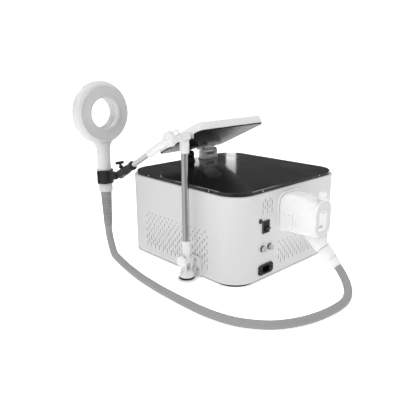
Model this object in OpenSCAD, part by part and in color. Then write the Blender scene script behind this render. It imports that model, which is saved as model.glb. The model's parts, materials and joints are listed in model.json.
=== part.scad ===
// Desktop magnetic-field therapy unit: square machine with a tilting screen, a jointed support
// arm and a ring applicator on a hose. Millimetres, +Z up, origin at the centre of the base.
// +X is the operator's right, +Y the rear with the inlet and connector, -Y the operator's side.

/* [Machine body] */
// Width and depth of the white casing
case_w = 386; // [370:2:400]
// Height of the casing's top above the table
case_h = 200; // [190:1:215]
// Radius of the casing's upright corners
case_r = 59; // [50:1:64]
// Sheet thickness of the casing
wall = 2.5; // [2:0.5:3]
// Height of the casing's lower edge above the table
case_z = 5; // [4:0.5:6]
// How far the black lid stands in from the casing's edge
lid_inset = 6.4; // [5:0.2:8]
// Thickness of the black lid
lid_t = 8.3; // [6:0.1:10]

/* [Air slots] */
// Distance between columns of air slots
slot_pitch = 7.7; // [7:0.1:9]
// Distance between rows of air slots in one column
slot_rise = 18; // [16:1:22]
// Width of one air slot
slot_w = 2.2; // [1.6:0.1:3]

/* [Screen] */
// Width of the screen
scr_w = 236; // [220:2:250]
// Depth of the screen along its slope
scr_d = 183; // [170:1:190]
// Thickness of the screen
scr_t = 23; // [18:1:26]
// Slope of the screen at rest
scr_tilt = 25; // [20:1:28]
// Sideways place of the screen's middle
scr_x = -26; // [-34:1:-20]

/* [Support arm] */
// Sideways place of the post's axis
post_x = 223; // [221:1:226]
// Front to back place of the post's axis
post_y = 71; // [66:1:76]
// Outer radius of the polished post tube
tube_r = 7.7; // [7:0.1:8.5]
// Height of the tilt pivot at the foot
tilt_z = 47; // [45:1:49]
// Height of the elbow pivot
elbow_z = 319; // [314:1:322]
// Sideways distance from the post to the plane of the arm
arm_out = 40; // [38:1:42]
// Slope of the arm below level
arm_dip = 28.7; // [27:0.1:30]

/* [Applicator] */
// Outer radius of the ring
ring_r = 71.5; // [68:0.5:74]
// Radius of the hole in the ring
hole_r = 35; // [32:0.5:38]
// Thickness of the ring
ring_t = 28; // [26:1:30]
// Height of the ring's centre
ring_z = 355; // [353:1:357]
// Radius of the neck below the ring
neck_r = 15.5; // [15:0.1:15.6]
// Diameter of the hose
hose_d = 17; // [15:0.5:18]

/* [Hidden] */
$fn = 64;
e = 0.01;
case_half = case_w / 2;
inner_half = case_half - wall;
lid_half = case_half - lid_inset;
lid_top = case_h + lid_t;
tray_half = inner_half - 0.3;
arm_x = post_x + arm_out;
arm_y = post_y + 5;
arm_z = elbow_z + 2;
clip_s = 222;
hand_y = -177;
collar_top = 188;
band_low = 188.5;
clip_turn = 56;
band_high = 213;
relief_top = 168;
relief_low = 78;
pivot_y = -155;
pivot_z = 228;
scr_low = 17.4;
scr_mid = 65.5;
clip_y = arm_y - clip_s * cos(arm_dip);
clip_z = arm_z - clip_s * sin(arm_dip);
bracket_holes = [[post_y - 9, 20], [post_y + 9, 20], [post_y, 40]];
plug_x = 20;
plug_y = 284;
taper_y = 250;
knob_x = 13;
knob_y = 275;
latch_z = 129;
elbow_dip = 40;
rocker_y = 189;
gland_tip = [17, 324, 47];
fan_x = -172;
lip_top = 15;
floor_z = 7.2;
foot_xy = [[150, 150], [-150, 150], [-150, -150], [150, -150], [0, 0]];

// Rounded square as squares and true circles.
module round_square(w, d, r) {
    square([w - 2 * r, d], center = true);
    square([w, d - 2 * r], center = true);
    for (x = [-1, 1], y = [-1, 1]) translate([x * (w / 2 - r), y * (d / 2 - r)]) circle(r);
}
module slab(w, d, r, low, high) translate([0, 0, low]) linear_extrude(high - low) round_square(w, d, r);
module rod_x(r, low, high, y, z) translate([low, y, z]) rotate([0, 90, 0]) cylinder(h = high - low, r = r);
module rod_y(r, low, high, x, z) translate([x, low, z]) rotate([-90, 0, 0]) cylinder(h = high - low, r = r);
module rod_z(r, low, high, x, y) translate([x, y, low]) cylinder(h = high - low, r = r);
module box(low, high) translate(low) cube(high - low);

// One column pattern of staggered upright slots: longer at the bottom, dots at the top.
module slot_field(width, low, rows) {
    columns = floor(width / slot_pitch);
    for (i = [0:columns], k = [0:rows - 1]) {
        z = low + k * slot_rise + (i % 2) * slot_rise / 2;
        high = 13 - 10 * (z - low) / (rows * slot_rise);
        translate([(i - columns / 2) * slot_pitch, 0, z]) cube([slot_w, 4 * wall, high], center = true);
    }
}

// ---- machine ----
module base_tray() color("black") {
    difference() {
        slab(2 * case_half - 10, 2 * case_half - 10, 48, 1.5, case_z);
        for (p = foot_xy) rod_z(16, 1, 3, p.x, p.y);
    }
    difference() {
        slab(2 * tray_half, 2 * tray_half, case_r - wall - 0.3, case_z + 0.2, lip_top);
        slab(2 * tray_half - 4, 2 * tray_half - 4, case_r - wall - 2.3, floor_z, lip_top + 1);
    }
    slab(300, 300, 30, case_z - e, case_z + 0.3);
}
module rubber_feet() color("dimgray") for (p = foot_xy) rod_z(16, 0, 3, p.x, p.y);
module casing() color("whitesmoke") difference() {
    slab(case_w, case_w, case_r, case_z, case_h);
    slab(2 * inner_half, 2 * inner_half, case_r - wall, case_z - 1, case_h - wall);
    for (s = [-1, 1]) translate([s * case_half, -2.5, 31]) rotate([0, 0, 90]) slot_field(218, 0, 5);
    translate([-14, case_half, 32]) slot_field(138, 0, 3);
    translate([96, case_half, 160]) slot_field(31, 0, 1);
    translate([96, case_half, 176]) slot_field(31, 0, 1);
    box([84, 180, 16.5], [112, 200, 36.5]);
    for (x = [79, 117]) rod_y(1.7, 180, 200, x, 26.5);
    for (x = [86, 110]) rod_y(6.2, 180, 200, x, 76);
    box([91, 180, 113], [111, 200, 138]);
    rod_y(4.2, 180, 200, 119, 141);
    rod_y(29, 180, 200, plug_x, 146);
    rod_z(8, 190, 210, scr_x, pivot_y);
    for (p = bracket_holes) rod_x(2.1, 180, 200, p.x, p.y);
}
module top_lid() color([0.08, 0.08, 0.09]) difference() {
    union() {
        slab(2 * lid_half, 2 * lid_half, case_r - lid_inset, case_h, lid_top - 0.8);
        slab(2 * lid_half - 1.6, 2 * lid_half - 1.6, case_r - lid_inset - 0.8, lid_top - 1, lid_top);
    }
    rod_z(7, 190, 220, scr_x, pivot_y);
    lid_screw_set(1.5);
}
module lid_screw_set(r) for (a = [0:90:270], s = [-1, 1])
    rotate([0, 0, a]) rod_x(r, lid_half - 8, lid_half + 0.6, s * 105, case_h + 4);
module lid_screws() color("silver") difference() {
    union() {
        lid_screw_set(1.49);
        for (a = [0:90:270], s = [-1, 1])
            rotate([0, 0, a]) rod_x(2.6, lid_half + 0.02, lid_half + 1, s * 105, case_h + 4);
    }
    for (a = [0:90:270], s = [-1, 1])
        rotate([0, 0, a]) rod_x(1.2, lid_half + 0.3, lid_half + 2, s * 105, case_h + 4);
}

// ---- rear panel ----
module inlet_outline() polygon([[-24.7, 0], [-17, 12], [17, 12], [24.7, 0], [17, -12], [-17, -12]]);
module mains_inlet() color([0.1, 0.1, 0.1]) translate([98, 0, 26.5]) difference() {
    union() {
        translate([0, case_half + 3, 0]) rotate([90, 0, 0]) linear_extrude(2.98) inlet_outline();
        box([-13.7, 160, -9.7], [13.7, case_half + 1, 9.7]);
    }
    box([-12, 171, -7.5], [12, 200, 8]);
    for (x = [-19, 19]) rod_y(1.7, 180, 200, x, 0);
}
module inlet_contacts() color("goldenrod") for (x = [-7, 0, 7])
    box([97 + x, 171.01, x == 0 ? 29 : 23.5], [99 + x, 187, x == 0 ? 33 : 27.5]);
module inlet_screws() color("silver") for (x = [79, 117]) {
    rod_y(1.65, 186, case_half + 3.2, x, 26.5);
    rod_y(2.6, case_half + 3.02, case_half + 4.4, x, 26.5);
}
module fuse_holders() color("black") for (x = [86, 110]) difference() {
    union() {
        rod_y(6.1, 158, case_half + 1, x, 76);
        rod_y(7.4, case_half + 0.02, case_half + 2.2, x, 76);
    }
    rod_y(4.8, 160, 200, x, 76);
}
module fuse_cap(x) color("silver") difference() {
    union() {
        rod_y(4.7, 186, case_half + 3, x, 76);
        rod_y(6.2, case_half + 2.3, case_half + 9, x, 76);
    }
    box([x - 5, case_half + 7.4, 75.2], [x + 5, case_half + 10, 76.8]);
}
module fuse_cap_left() fuse_cap(86);
module fuse_cap_right() fuse_cap(110);
module fuse_links() color("lightgray") for (x = [86, 110]) rod_y(2.6, 161, 181, x, 76);
module switch_frame() color([0.12, 0.12, 0.13]) difference() {
    union() {
        box([91.2, 166, 113.2], [110.8, case_half + 1, 137.8]);
        box([89, case_half + 0.02, 111], [113, case_half + 2.5, 140]);
    }
    box([93.5, 172, 114.5], [108.5, 210, 136.5]);
}
// Rocker on its cross pin, with the lower half standing out as a paddle.
module switch_rocker() color([0.05, 0.05, 0.05]) {
    rod_x(8.5, 93.8, 108.2, rocker_y, 125.5);
    translate([93.8, rocker_y, 125.5]) rotate([90, 0, 90]) linear_extrude(14.4)
        polygon([[-4, -8], [4.5, -9.2], [14, -3], [5, 10], [-3, 9.5]]);
}
module button_bush() color("black") difference() {
    union() {
        rod_y(4.1, 186, case_half + 1, 119, 141);
        rod_y(5.4, case_half + 0.02, case_half + 2, 119, 141);
    }
    rod_y(3.1, 180, 210, 119, 141);
}
module reset_button() color([0.15, 0.15, 0.15]) rod_y(3.02, 188, case_half + 4.5, 119, 141);

// ---- hose connector ----
module plug_outline(w, low, high, r) translate([0, (low + high) / 2]) round_square(w, high - low, r);
module in_plug(y) translate([plug_x, y, 0]) rotate([90, 0, 0]) children();
module socket_plate() color("white") difference() {
    in_plug(case_half + 3.5) linear_extrude(3.48) plug_outline(86, 102, 192, 22);
    rod_y(29.2, 190, 200, plug_x, 146);
}
module panel_socket() color("dimgray") difference() {
    rod_y(29, 172, case_half + 16, plug_x, 146);
    rod_y(25, case_half - 6, 220, plug_x, 146);
    for (a = [0:60:300])
        translate([plug_x + 14 * cos(a), 180, 146 + 14 * sin(a)]) rotate([-90, 0, 0]) cylinder(h = 20, r = 3);
}
module plug_shell() color("white") difference() {
    union() {
        in_plug(taper_y) linear_extrude(taper_y - case_half - 3.8) plug_outline(74, 107, 187, 24);
        hull() {
            in_plug(taper_y) linear_extrude(1) plug_outline(73.8, 107.1, 186.9, 24);
            in_plug(plug_y - 8) linear_extrude(1) plug_outline(58, 107.1, 186.9, 24);
        }
        in_plug(case_half + 9) linear_extrude(5.2) plug_outline(78, 105, 189, 26);
        rod_z(9, 185.4, 194, knob_x, knob_y);
    }
    in_plug(taper_y + 0.5) linear_extrude(80) plug_outline(66, 111, 183, 20);
    hull() {
        in_plug(taper_y + 0.4) linear_extrude(1) plug_outline(65.8, 111.1, 182.9, 20);
        in_plug(plug_y - 12) linear_extrude(1) plug_outline(52, 111.1, 182.9, 20);
    }
    rod_z(6.4, 180, 200, knob_x, knob_y);
    for (y = [232, 240, 248]) box([plug_x + 36.2, y, 125], [plug_x + 40, y + 2.4, 152]);
    translate([17, 236, 118]) rotate([-90 - elbow_dip, 0, 0]) cylinder(h = 40, r = 13);
}
module plug_contacts() color("goldenrod") {
    rod_y(24, case_half + 17, case_half + 26, plug_x, 146);
    for (a = [0:60:300]) translate([plug_x + 14 * cos(a), 190.5, 146 + 14 * sin(a)])
        rotate([-90, 0, 0]) cylinder(h = 27, r = 2.4);
}
module plug_end_cap() color("lightgray") difference() {
    in_plug(plug_y) linear_extrude(7.98) plug_outline(56, 107, 185, 22);
    box([8, plug_y - 5, 118], [36, plug_y + 2, 163]);
}
// Upright pull bar, hinged at its foot in the cap's recess.
module latch_lever() color("white") {
    rod_x(4, 12, 26, plug_y - 0.5, latch_z);
    box([12, plug_y - 1, latch_z], [26, plug_y + 3, 155]);
    rod_x(3.4, 11, 27, plug_y + 1, 155);
}
module latch_pin() color("silver") difference() {
    rod_x(1.45, 8.2, 35.8, plug_y - 0.5, latch_z);
    box([11.8, plug_y - 5, 118], [26.2, plug_y + 5, 136]);
}
module release_button() color("whitesmoke") {
    rod_z(6.3, 188.5, 199, knob_x, knob_y);
    rod_z(5, 198, 202, knob_x, knob_y);
}
module along_elbow(s) translate([gland_tip.x, gland_tip.y, gland_tip.z])
    rotate([-90 - elbow_dip, 0, 0]) translate([0, 0, s]) children();
module cable_elbow() color("white") intersection() {
    along_elbow(-100) cylinder(h = 52.8, r1 = 18, r2 = 15.5);
    difference() {
        box([-30, 200, 40], [60, 340, 140]);
        in_plug(plug_y + 0.3) linear_extrude(100) plug_outline(74.6, 106.7, 187, 24.3);
    }
}
module gland_nut() color("whitesmoke") {
    along_elbow(-47.1) cylinder(h = 27, r1 = 15.5, r2 = 13.3);
    along_elbow(-20.1) cylinder(h = 2, r = 11.5);
    along_elbow(-18.1) cylinder(h = 18.1, r1 = 12.8, r2 = 9.7);
}

// ---- hose: one tube from the applicator to the gland ----
hose_route = [[arm_x, hand_y, relief_low], [arm_x, hand_y, 70], [arm_x + 1, hand_y + 4, 54],
    [arm_x + 5, -159, 32], [arm_x + 12, -137, 16], [278, -110, 9.5], [286, -75, 8.6], [294, -35, 8.6],
    [301, 5, 8.6], [305, 45, 8.6], [308, 85, 8.6], [309, 125, 8.6], [309, 165, 8.6], [308, 205, 8.6],
    [303, 245, 8.6], [293, 281, 8.6], [276, 312, 8.6], [254, 338, 8.6], [225, 358, 8.6],
    [190, 373, 8.6], [150, 382, 8.6], [110, 385, 8.6], [76, 382, 9.5], [50, 372, 14],
    [31, 356, 24], gland_tip + 8 * [0, cos(elbow_dip), -sin(elbow_dip)], gland_tip];
function unit(v) = v / norm(v);
// Direction along the hose at one point of its route.
function hose_dir(i) = unit(hose_route[min(i + 1, len(hose_route) - 1)] - hose_route[max(i - 1, 0)]);
function hose_ring(i, sides) = let (d = hose_dir(i), u = unit(cross(d, [0.35, 0.2, 0.91])), v = cross(d, u))
    [for (k = [0:sides - 1]) hose_route[i] + hose_d / 2 * (cos(360 * k / sides) * u
        + sin(360 * k / sides) * v)];
module hose() color("darkgray") {
    sides = 10;
    n = len(hose_route);
    polyhedron(
        points = [for (i = [0:n - 1]) each hose_ring(i, sides)],
        faces = [
            [for (k = [0:sides - 1]) k],
            for (i = [0:n - 2], k = [0:sides - 1]) [i * sides + k, (i + 1) * sides + k,
                (i + 1) * sides + (k + 1) % sides],
            for (i = [0:n - 2], k = [0:sides - 1]) [i * sides + k, (i + 1) * sides + (k + 1) % sides,
                i * sides + (k + 1) % sides],
            [for (k = [sides - 1:-1:0]) (n - 1) * sides + k]
        ]);
}

// ---- support arm ----
module arm_bracket() color("white") difference() {
    union() {
        rod_z(21, 0, 5, post_x, post_y);
        box([case_half + 0.02, post_y - 15, 0], [post_x, post_y + 15, 5]);
        box([case_half + 0.02, post_y - 15, 0], [case_half + 3.3, post_y + 15, 50]);
        translate([case_half + 3, post_y - 2, 5]) rotate([90, 0, 0]) translate([0, 0, -4])
            linear_extrude(4) polygon([[0, -1], [8, -1], [0, 26]]);
    }
    rod_z(4.05, -1, 6, post_x, post_y);
    rod_z(8, -1, 2.4, post_x, post_y);
    for (p = bracket_holes) rod_x(2.1, 180, 200, p.x, p.y);
}
module bracket_screws() color("silver") for (p = bracket_holes) {
    rod_x(2.05, case_half - 6, case_half + 3.4, p.x, p.y);
    rod_x(3.6, case_half + 3.32, case_half + 5.4, p.x, p.y);
}
module post_washer() color([0.08, 0.08, 0.08]) difference() {
    rod_z(17, 5.02, 8.6, post_x, post_y);
    rod_z(4.05, 4, 10, post_x, post_y);
}
module swivel_bolt() color("silver") {
    rod_z(4, 0.6, 18, post_x, post_y);
    rod_z(7.8, 0.4, 2.2, post_x, post_y);
}
// Domed foot with two ears that hold the tilt pin.
module post_foot() color("white") difference() {
    union() {
        translate([post_x, post_y, 0]) rotate_extrude() polygon([[0, 9], [16, 9], [16.5, 12], [16, 16],
            [13.5, 21], [9.5, 25], [0, 25]]);
        for (s = [-1, 1]) hull() {
            translate([post_x + s * 8.2 - 2, post_y - 8, 20]) cube([4, 16, 5]);
            rod_x(8, post_x + s * 8.2 - 2, post_x + s * 8.2 + 2, post_y, tilt_z, $fn = 32);
        }
    }
    rod_z(4.05, 8, 18.5, post_x, post_y);
    rod_x(3, post_x - 20, post_x + 20, post_y, tilt_z);
}
module tilt_knob() color("whitesmoke") {
    rod_x(2.95, post_x - 13, post_x + 12, post_y, tilt_z);
    difference() {
        rod_x(13, post_x + 11, post_x + 19, post_y, tilt_z);
        for (a = [0:45:315]) translate([0, post_y, tilt_z]) rotate([a, 0, 0])
            rod_x(2.2, post_x + 10, post_x + 20, 14, 0);
    }
    rod_x(5.5, post_x - 15.5, post_x - 11, post_y, tilt_z);
}
// Eye on the tilt pin, dark ring and lower sleeve that hold the tube.
module tilt_yoke() color("white") difference() {
    union() {
        rod_x(8, post_x - 5.8, post_x + 5.8, post_y, tilt_z);
        box([post_x - 5.8, post_y - 7, tilt_z], [post_x + 5.8, post_y + 7, 62]);
        rod_z(10, 61, 93, post_x, post_y);
    }
    rod_x(3.02, post_x - 20, post_x + 20, post_y, tilt_z);
    rod_z(tube_r + 0.02, 68, 94, post_x, post_y);
}
module post_tube() color("silver") difference() {
    rod_z(tube_r, 68.02, 300, post_x, post_y);
    rod_z(tube_r - 1.2, 67, 301, post_x, post_y);
}
module top_sleeve() color("white") difference() {
    union() {
        rod_z(10, 286, 311, post_x, post_y);
        rod_x(9, post_x - 10, post_x + 12, post_y, elbow_z);
    }
    rod_z(tube_r + 0.02, 285, 300.02, post_x, post_y);
    rod_x(4.02, post_x - 30, post_x + 30, post_y, elbow_z);
}
module elbow_bolt() color("silver") {
    rod_x(4, post_x - 19, arm_x + 3, post_y, elbow_z);
    translate([post_x - 21, post_y, elbow_z]) rotate([0, 90, 0]) cylinder(h = 5.5, r = 7.6, $fn = 6);
    difference() {
        rod_x(7.5, post_x - 15, post_x - 10.3, post_y, elbow_z);
        rod_x(4, post_x - 20, post_x, post_y, elbow_z);
    }
}
// Wing nut with a looped grip on the elbow bolt.
module elbow_wing_nut() color("whitesmoke") difference() {
    union() {
        rod_x(7.6, post_x + 12.4, arm_x - 8.4, post_y, elbow_z);
        translate([post_x + 22, post_y, elbow_z + 8]) difference() {
            rotate([90, 0, 0]) cylinder(h = 4, r = 9.4, center = true);
            rotate([90, 0, 0]) cylinder(h = 6, r = 6.2, center = true);
            translate([-12, -5, -24]) cube([24, 10, 16]);
        }
    }
    rod_x(4.05, post_x, arm_x, post_y, elbow_z);
}
module in_arm() translate([arm_x, arm_y, arm_z]) rotate([90 + arm_dip, 0, 0]) children();
// Round hub on the bolt with the thick sleeve of the arm.
module arm_hub() color("whitesmoke") difference() {
    union() {
        rod_x(16.5, arm_x - 6, arm_x + 5, post_y, elbow_z);
        in_arm() cylinder(h = 84, r = 8);
    }
    rod_x(4.05, arm_x - 10, arm_x + 3.2, post_y, elbow_z);
    in_arm() translate([0, 0, 24]) cylinder(h = 80, r = 6.02);
}
module arm_rod() color("silver") in_arm() translate([0, 0, 24.02]) cylinder(h = 147, r = 6);
module clamp_body() color([0.1, 0.1, 0.1]) difference() {
    union() {
        in_arm() translate([0, 0, 153]) cylinder(h = 36, r = 10.5);
        in_arm() translate([-10, -8, 184]) cube([20, 16, 30]);
        for (s = [-1, 1]) {
            rod_x(8.2, arm_x + s * 7.5 - 2.5, arm_x + s * 7.5 + 2.5, clip_y, clip_z);
            in_arm() translate([s * 7.5 - 2.2, -7.2, 205]) cube([4.4, 14.4, clip_s - 205]);
        }
    }
    in_arm() translate([0, 0, 150]) cylinder(h = 21.02, r = 6.02);
    rod_x(3, arm_x - 20, arm_x + 20, clip_y, clip_z);
    in_arm() translate([-4.8, -9, 213.6]) cube([9.6, 20, 20]);
    in_arm() translate([0, 2, 200]) rotate([-90, 0, 0]) cylinder(h = 10, r = 3.02);
}
// Thumb screw with a T-shaped head that locks the clamp.
module clamp_screw() color([0.06, 0.06, 0.06]) in_arm() translate([0, 2.02, 200]) rotate([-90, 0, 0]) {
    cylinder(h = 25, r = 2.96);
    translate([0, 0, 12]) cylinder(h = 4, r = 5);
    translate([-11, -3, 21]) cube([22, 6, 6]);
}
// Open band around the neck with two flared ends, and a lug with its own pin in the clamp.
module clip_band() color([0.1, 0.1, 0.1]) {
    difference() {
        union() {
            rod_z(20, band_low, band_high, arm_x, hand_y);
            hull() {
                rod_x(6.5, arm_x - 4.4, arm_x + 4.4, clip_y, clip_z, $fn = 32);
                box([arm_x - 4.4, hand_y + 17, 195], [arm_x + 4.4, hand_y + 20, band_high - 1]);
            }
        }
        rod_z(neck_r + 0.4, 180, 230, arm_x, hand_y);
        translate([arm_x, hand_y, 0]) rotate([0, 0, clip_turn]) linear_extrude(300)
            polygon([[0, 0], [-30, -25], [30, -25]]);
    }
    rod_x(2.96, arm_x - 10.5, arm_x + 10.5, clip_y, clip_z);
    translate([arm_x, hand_y, band_low + 1]) rotate([0, 0, clip_turn]) for (s = [-1, 1])
        translate([s * 14, -11.4, 0]) rotate([0, 0, s * 20 + 180]) translate([-1.8, 0, 0]) cube([3.6, 7, 23]);
}

// ---- applicator ----
module ring_half(s) translate([arm_x, hand_y, ring_z]) rotate([s * 90, 0, 0]) rotate_extrude($fn = 96)
    polygon([[hole_r, 0.05], [hole_r, ring_t / 2 - 4], [hole_r + 1.5, ring_t / 2 - 1.2],
        [hole_r + 3, ring_t / 2], [ring_r - 9, ring_t / 2], [ring_r - 3.4, ring_t / 2 - 3],
        [ring_r - 0.6, ring_t / 2 - 8], [ring_r, 0.05]]);
module coil_space(gap) translate([arm_x, hand_y, ring_z]) rotate([90, 0, 0]) difference() {
    cylinder(h = 2 * (9 + gap), r = 60 + gap, center = true);
    cylinder(h = 40, r = 41 - gap, center = true);
}
// Neck with a flare where it runs into the ring, cut at the ring's middle plane.
module neck_half(s) intersection() {
    translate([arm_x, hand_y, 0]) rotate_extrude() polygon([[11, 170], [neck_r, 170], [neck_r, 262],
        [neck_r + 0.8, 272], [neck_r + 4, 282], [neck_r + 11, 290], [neck_r + 11, 296], [11, 296]]);
    box([arm_x - 40, s > 0 ? hand_y - 40 : hand_y + 0.05, 150], [arm_x + 40,
        s > 0 ? hand_y - 0.05 : hand_y + 40, 300]);
}
module ring_shell(s) difference() {
    union() {
        ring_half(s);
        difference() {
            neck_half(s);
            translate([arm_x, hand_y, ring_z]) rotate([90, 0, 0]) cylinder(h = 60, r = 62, center = true);
            translate([arm_x - 40, s > 0 ? hand_y - 60 : hand_y + ring_t / 2, 282]) cube([80, 46, 30]);
        }
    }
    coil_space(0.5);
}
module ring_shell_front() color("white") difference() {
    ring_shell(-1);
    translate([arm_x, hand_y + ring_t / 2, ring_z]) rotate([90, 0, 0]) difference() {
        cylinder(h = 4, r = 62.2, center = true);
        cylinder(h = 10, r = 37.8, center = true);
    }
}
module ring_shell_rear() color("white") ring_shell(1);
module ring_face() color("lightgray") translate([arm_x, hand_y + ring_t / 2 + 0.6, ring_z])
    rotate([90, 0, 0]) difference() {
        cylinder(h = 2.58, r = 62.1);
        translate([0, 0, -1]) cylinder(h = 10, r = 37.9);
    }
module ring_coil() color("darkorange") coil_space(0);
module neck_collar() color("gainsboro") difference() {
    rod_z(16.2, relief_top, collar_top, arm_x, hand_y);
    rod_z(neck_r, 170, 190, arm_x, hand_y);
    rod_z(9, 160, 175, arm_x, hand_y);
}
module strain_relief() color("gray") translate([arm_x, hand_y, 0]) difference() {
    rotate_extrude() polygon([[0, relief_low], [9.2, relief_low], [10.4, 94], [12.6, 148], [13, relief_top],
        [0, relief_top]]);
    for (z = [96:6.5:148]) translate([0, 0, z]) difference() {
        cylinder(h = 2.2, r = 20);
        translate([0, 0, -1]) cylinder(h = 5, r = 9 + (z - 94) * 0.04);
    }
}

// ---- screen ----
module in_screen() translate([scr_x, pivot_y, pivot_z]) rotate([scr_tilt, 0, 0])
    translate([0, scr_mid, 0]) children();
module screen_back() color([0.1, 0.1, 0.11]) in_screen() slab(scr_w - 2, scr_d - 2, 14, scr_low, scr_low + 3);
module screen_frame() color("white") in_screen() difference() {
    slab(scr_w, scr_d, 15, scr_low + 3.02, scr_low + scr_t);
    slab(scr_w - 6, scr_d - 6, 12, scr_low, scr_low + scr_t - 3);
    box([-108, -80, 0], [108, 82, 60]);
}
module screen_glass() color([0.1, 0.12, 0.16]) in_screen()
    slab(scr_w - 8, scr_d - 8, 11, scr_low + scr_t - 6, scr_low + scr_t - 3.02);
module display_panel() color("gray") in_screen()
    box([-112, -84, scr_low + 5], [112, 84, scr_low + scr_t - 6.3]);
module knuckle(low, high) rod_x(9, low, high, pivot_y, pivot_z);
module hinge_base() color("darkgray") difference() {
    union() {
        for (x = [[-63, -15], [27, 50]])
            box([scr_x + x[0], pivot_y - 12, lid_top + 0.02], [scr_x + x[1], pivot_y + 12, lid_top + 5]);
        for (x = [[-63, -51], [-27, -15], [27, 34], [43, 50]]) {
            knuckle(scr_x + x[0], scr_x + x[1]);
            box([scr_x + x[0], pivot_y - 8.9, lid_top + 4], [scr_x + x[1], pivot_y + 8.9, pivot_z]);
        }
    }
    rod_x(3.03, scr_x - 80, scr_x + 60, pivot_y, pivot_z);
}
module hinge_leaf() color("silver") difference() {
    union() {
        for (x = [[-50.7, -27.3], [34.3, 42.7]]) {
            knuckle(scr_x + x[0], scr_x + x[1]);
            in_screen() box([x[0] + 0.6, -72.5, 1], [x[1] - 0.6, -58.5, scr_low - 1]);
        }
        in_screen() box([-63, -78, scr_low - 3], [50, -30, scr_low - 0.02]);
    }
    rod_x(3.03, scr_x - 80, scr_x + 60, pivot_y, pivot_z);
}
module hinge_pin() color("silver") {
    rod_x(3, scr_x - 65, scr_x - 13, pivot_y, pivot_z);
    rod_x(3, scr_x + 25, scr_x + 52, pivot_y, pivot_z);
}

// ---- inside the machine ----
module power_supply() color("silver") {
    box([-60, 20, floor_z + 0.02], [55, 150, 12]);
    box([-58, 24, 11.9], [53, 146, 62]);
}
module pulse_board() color("darkgreen") {
    box([-120, -150, 10], [130, -20, 12]);
    for (x = [-112, 122], y = [-142, -28]) rod_z(3, floor_z + 0.02, 10.5, x, y);
    for (x = [-90, -45, 0, 45]) rod_z(18, 11.9, 92, x, -60);
    for (x = [-70, -10]) difference() {
        rod_z(20, 11.9, 34, x, -120);
        rod_z(9, 11, 35, x, -120);
    }
    box([40, -140, 11.9], [110, -100, 48]);
}
module fan_frame() color([0.1, 0.1, 0.1]) difference() {
    union() {
        box([fan_x - 12, -46, 26], [fan_x + 12, 46, 118]);
        for (y = [-46, 34]) box([fan_x - 10, y, floor_z + 0.02], [fan_x + 10, y + 12, 27]);
    }
    rod_x(43, fan_x - 13, fan_x + 8, 0, 72);
    for (a = [0:90:270]) translate([0, 0, 72]) rotate([a, 0, 0])
        translate([fan_x + 7, 6, 6]) cube([6, 30, 30]);
}
module fan_rotor() color("dimgray") {
    rod_x(19, fan_x - 10, fan_x + 6.6, 0, 72);
    for (a = [0:360 / 7:359]) translate([fan_x - 2, 0, 72]) rotate([a, 0, 0])
        rotate([0, 0, 35]) translate([-1, -10, 16]) cube([2, 20, 25]);
}

base_tray();
rubber_feet();
casing();
top_lid();
lid_screws();
mains_inlet();
inlet_contacts();
inlet_screws();
fuse_holders();
fuse_cap_left();
fuse_cap_right();
fuse_links();
switch_frame();
switch_rocker();
button_bush();
reset_button();
socket_plate();
panel_socket();
plug_shell();
plug_contacts();
plug_end_cap();
latch_lever();
latch_pin();
release_button();
cable_elbow();
gland_nut();
hose();
arm_bracket();
bracket_screws();
post_washer();
post_foot();
swivel_bolt();
tilt_knob();
tilt_yoke();
post_tube();
top_sleeve();
elbow_bolt();
elbow_wing_nut();
arm_hub();
arm_rod();
clamp_body();
clamp_screw();
clip_band();
ring_shell_front();
ring_shell_rear();
ring_face();
ring_coil();
neck_collar();
strain_relief();
screen_back();
screen_frame();
screen_glass();
display_panel();
hinge_base();
hinge_leaf();
hinge_pin();
power_supply();
pulse_board();
fan_frame();
fan_rotor();
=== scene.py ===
import json
from math import cos, pi, radians, sin, tan

import bmesh
import bpy
import numpy as np
from mathutils import Matrix, Vector


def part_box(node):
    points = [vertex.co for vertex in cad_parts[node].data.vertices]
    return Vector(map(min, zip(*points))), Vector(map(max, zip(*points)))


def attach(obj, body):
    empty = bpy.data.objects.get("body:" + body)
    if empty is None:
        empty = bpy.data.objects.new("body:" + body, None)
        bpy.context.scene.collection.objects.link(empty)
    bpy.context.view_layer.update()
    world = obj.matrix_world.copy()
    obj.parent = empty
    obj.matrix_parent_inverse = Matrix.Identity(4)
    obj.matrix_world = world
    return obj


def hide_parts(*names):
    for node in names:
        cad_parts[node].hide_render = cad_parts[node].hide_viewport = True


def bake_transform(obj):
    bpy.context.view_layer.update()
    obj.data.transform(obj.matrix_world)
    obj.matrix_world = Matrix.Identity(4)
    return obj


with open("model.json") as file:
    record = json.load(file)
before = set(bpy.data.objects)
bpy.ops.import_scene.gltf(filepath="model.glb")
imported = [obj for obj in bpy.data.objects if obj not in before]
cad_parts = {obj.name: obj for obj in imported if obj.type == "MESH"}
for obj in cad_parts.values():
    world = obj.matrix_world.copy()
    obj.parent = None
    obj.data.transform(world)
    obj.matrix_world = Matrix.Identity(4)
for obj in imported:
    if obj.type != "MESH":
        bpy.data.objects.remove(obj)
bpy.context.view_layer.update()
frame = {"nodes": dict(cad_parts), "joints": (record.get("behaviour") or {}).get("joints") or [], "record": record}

# A desktop magnetic-field therapy unit. Shapes are worked out in millimetres and stored in metres.
# +X is the operator's right, +Y the rear with the connector, +Z up; the base stands on zero.
bodyOf = {node: body for body, nodes in frame["record"]["behaviour"]["bodies"].items() for node in nodes}
anchorOf = {joint["name"]: np.array(joint["pos_m"]) * 1000 for joint in frame["joints"] if "pos_m" in joint}
print("frame loaded:", len(frame["nodes"]), "nodes")


# ---------- shapes ----------
def boxOf(node):  # lowest corner, highest corner and middle of a CAD node, in millimetres
    low, high = (np.array(corner) * 1000 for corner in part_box(node))
    return low, high, (low + high) / 2


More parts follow.
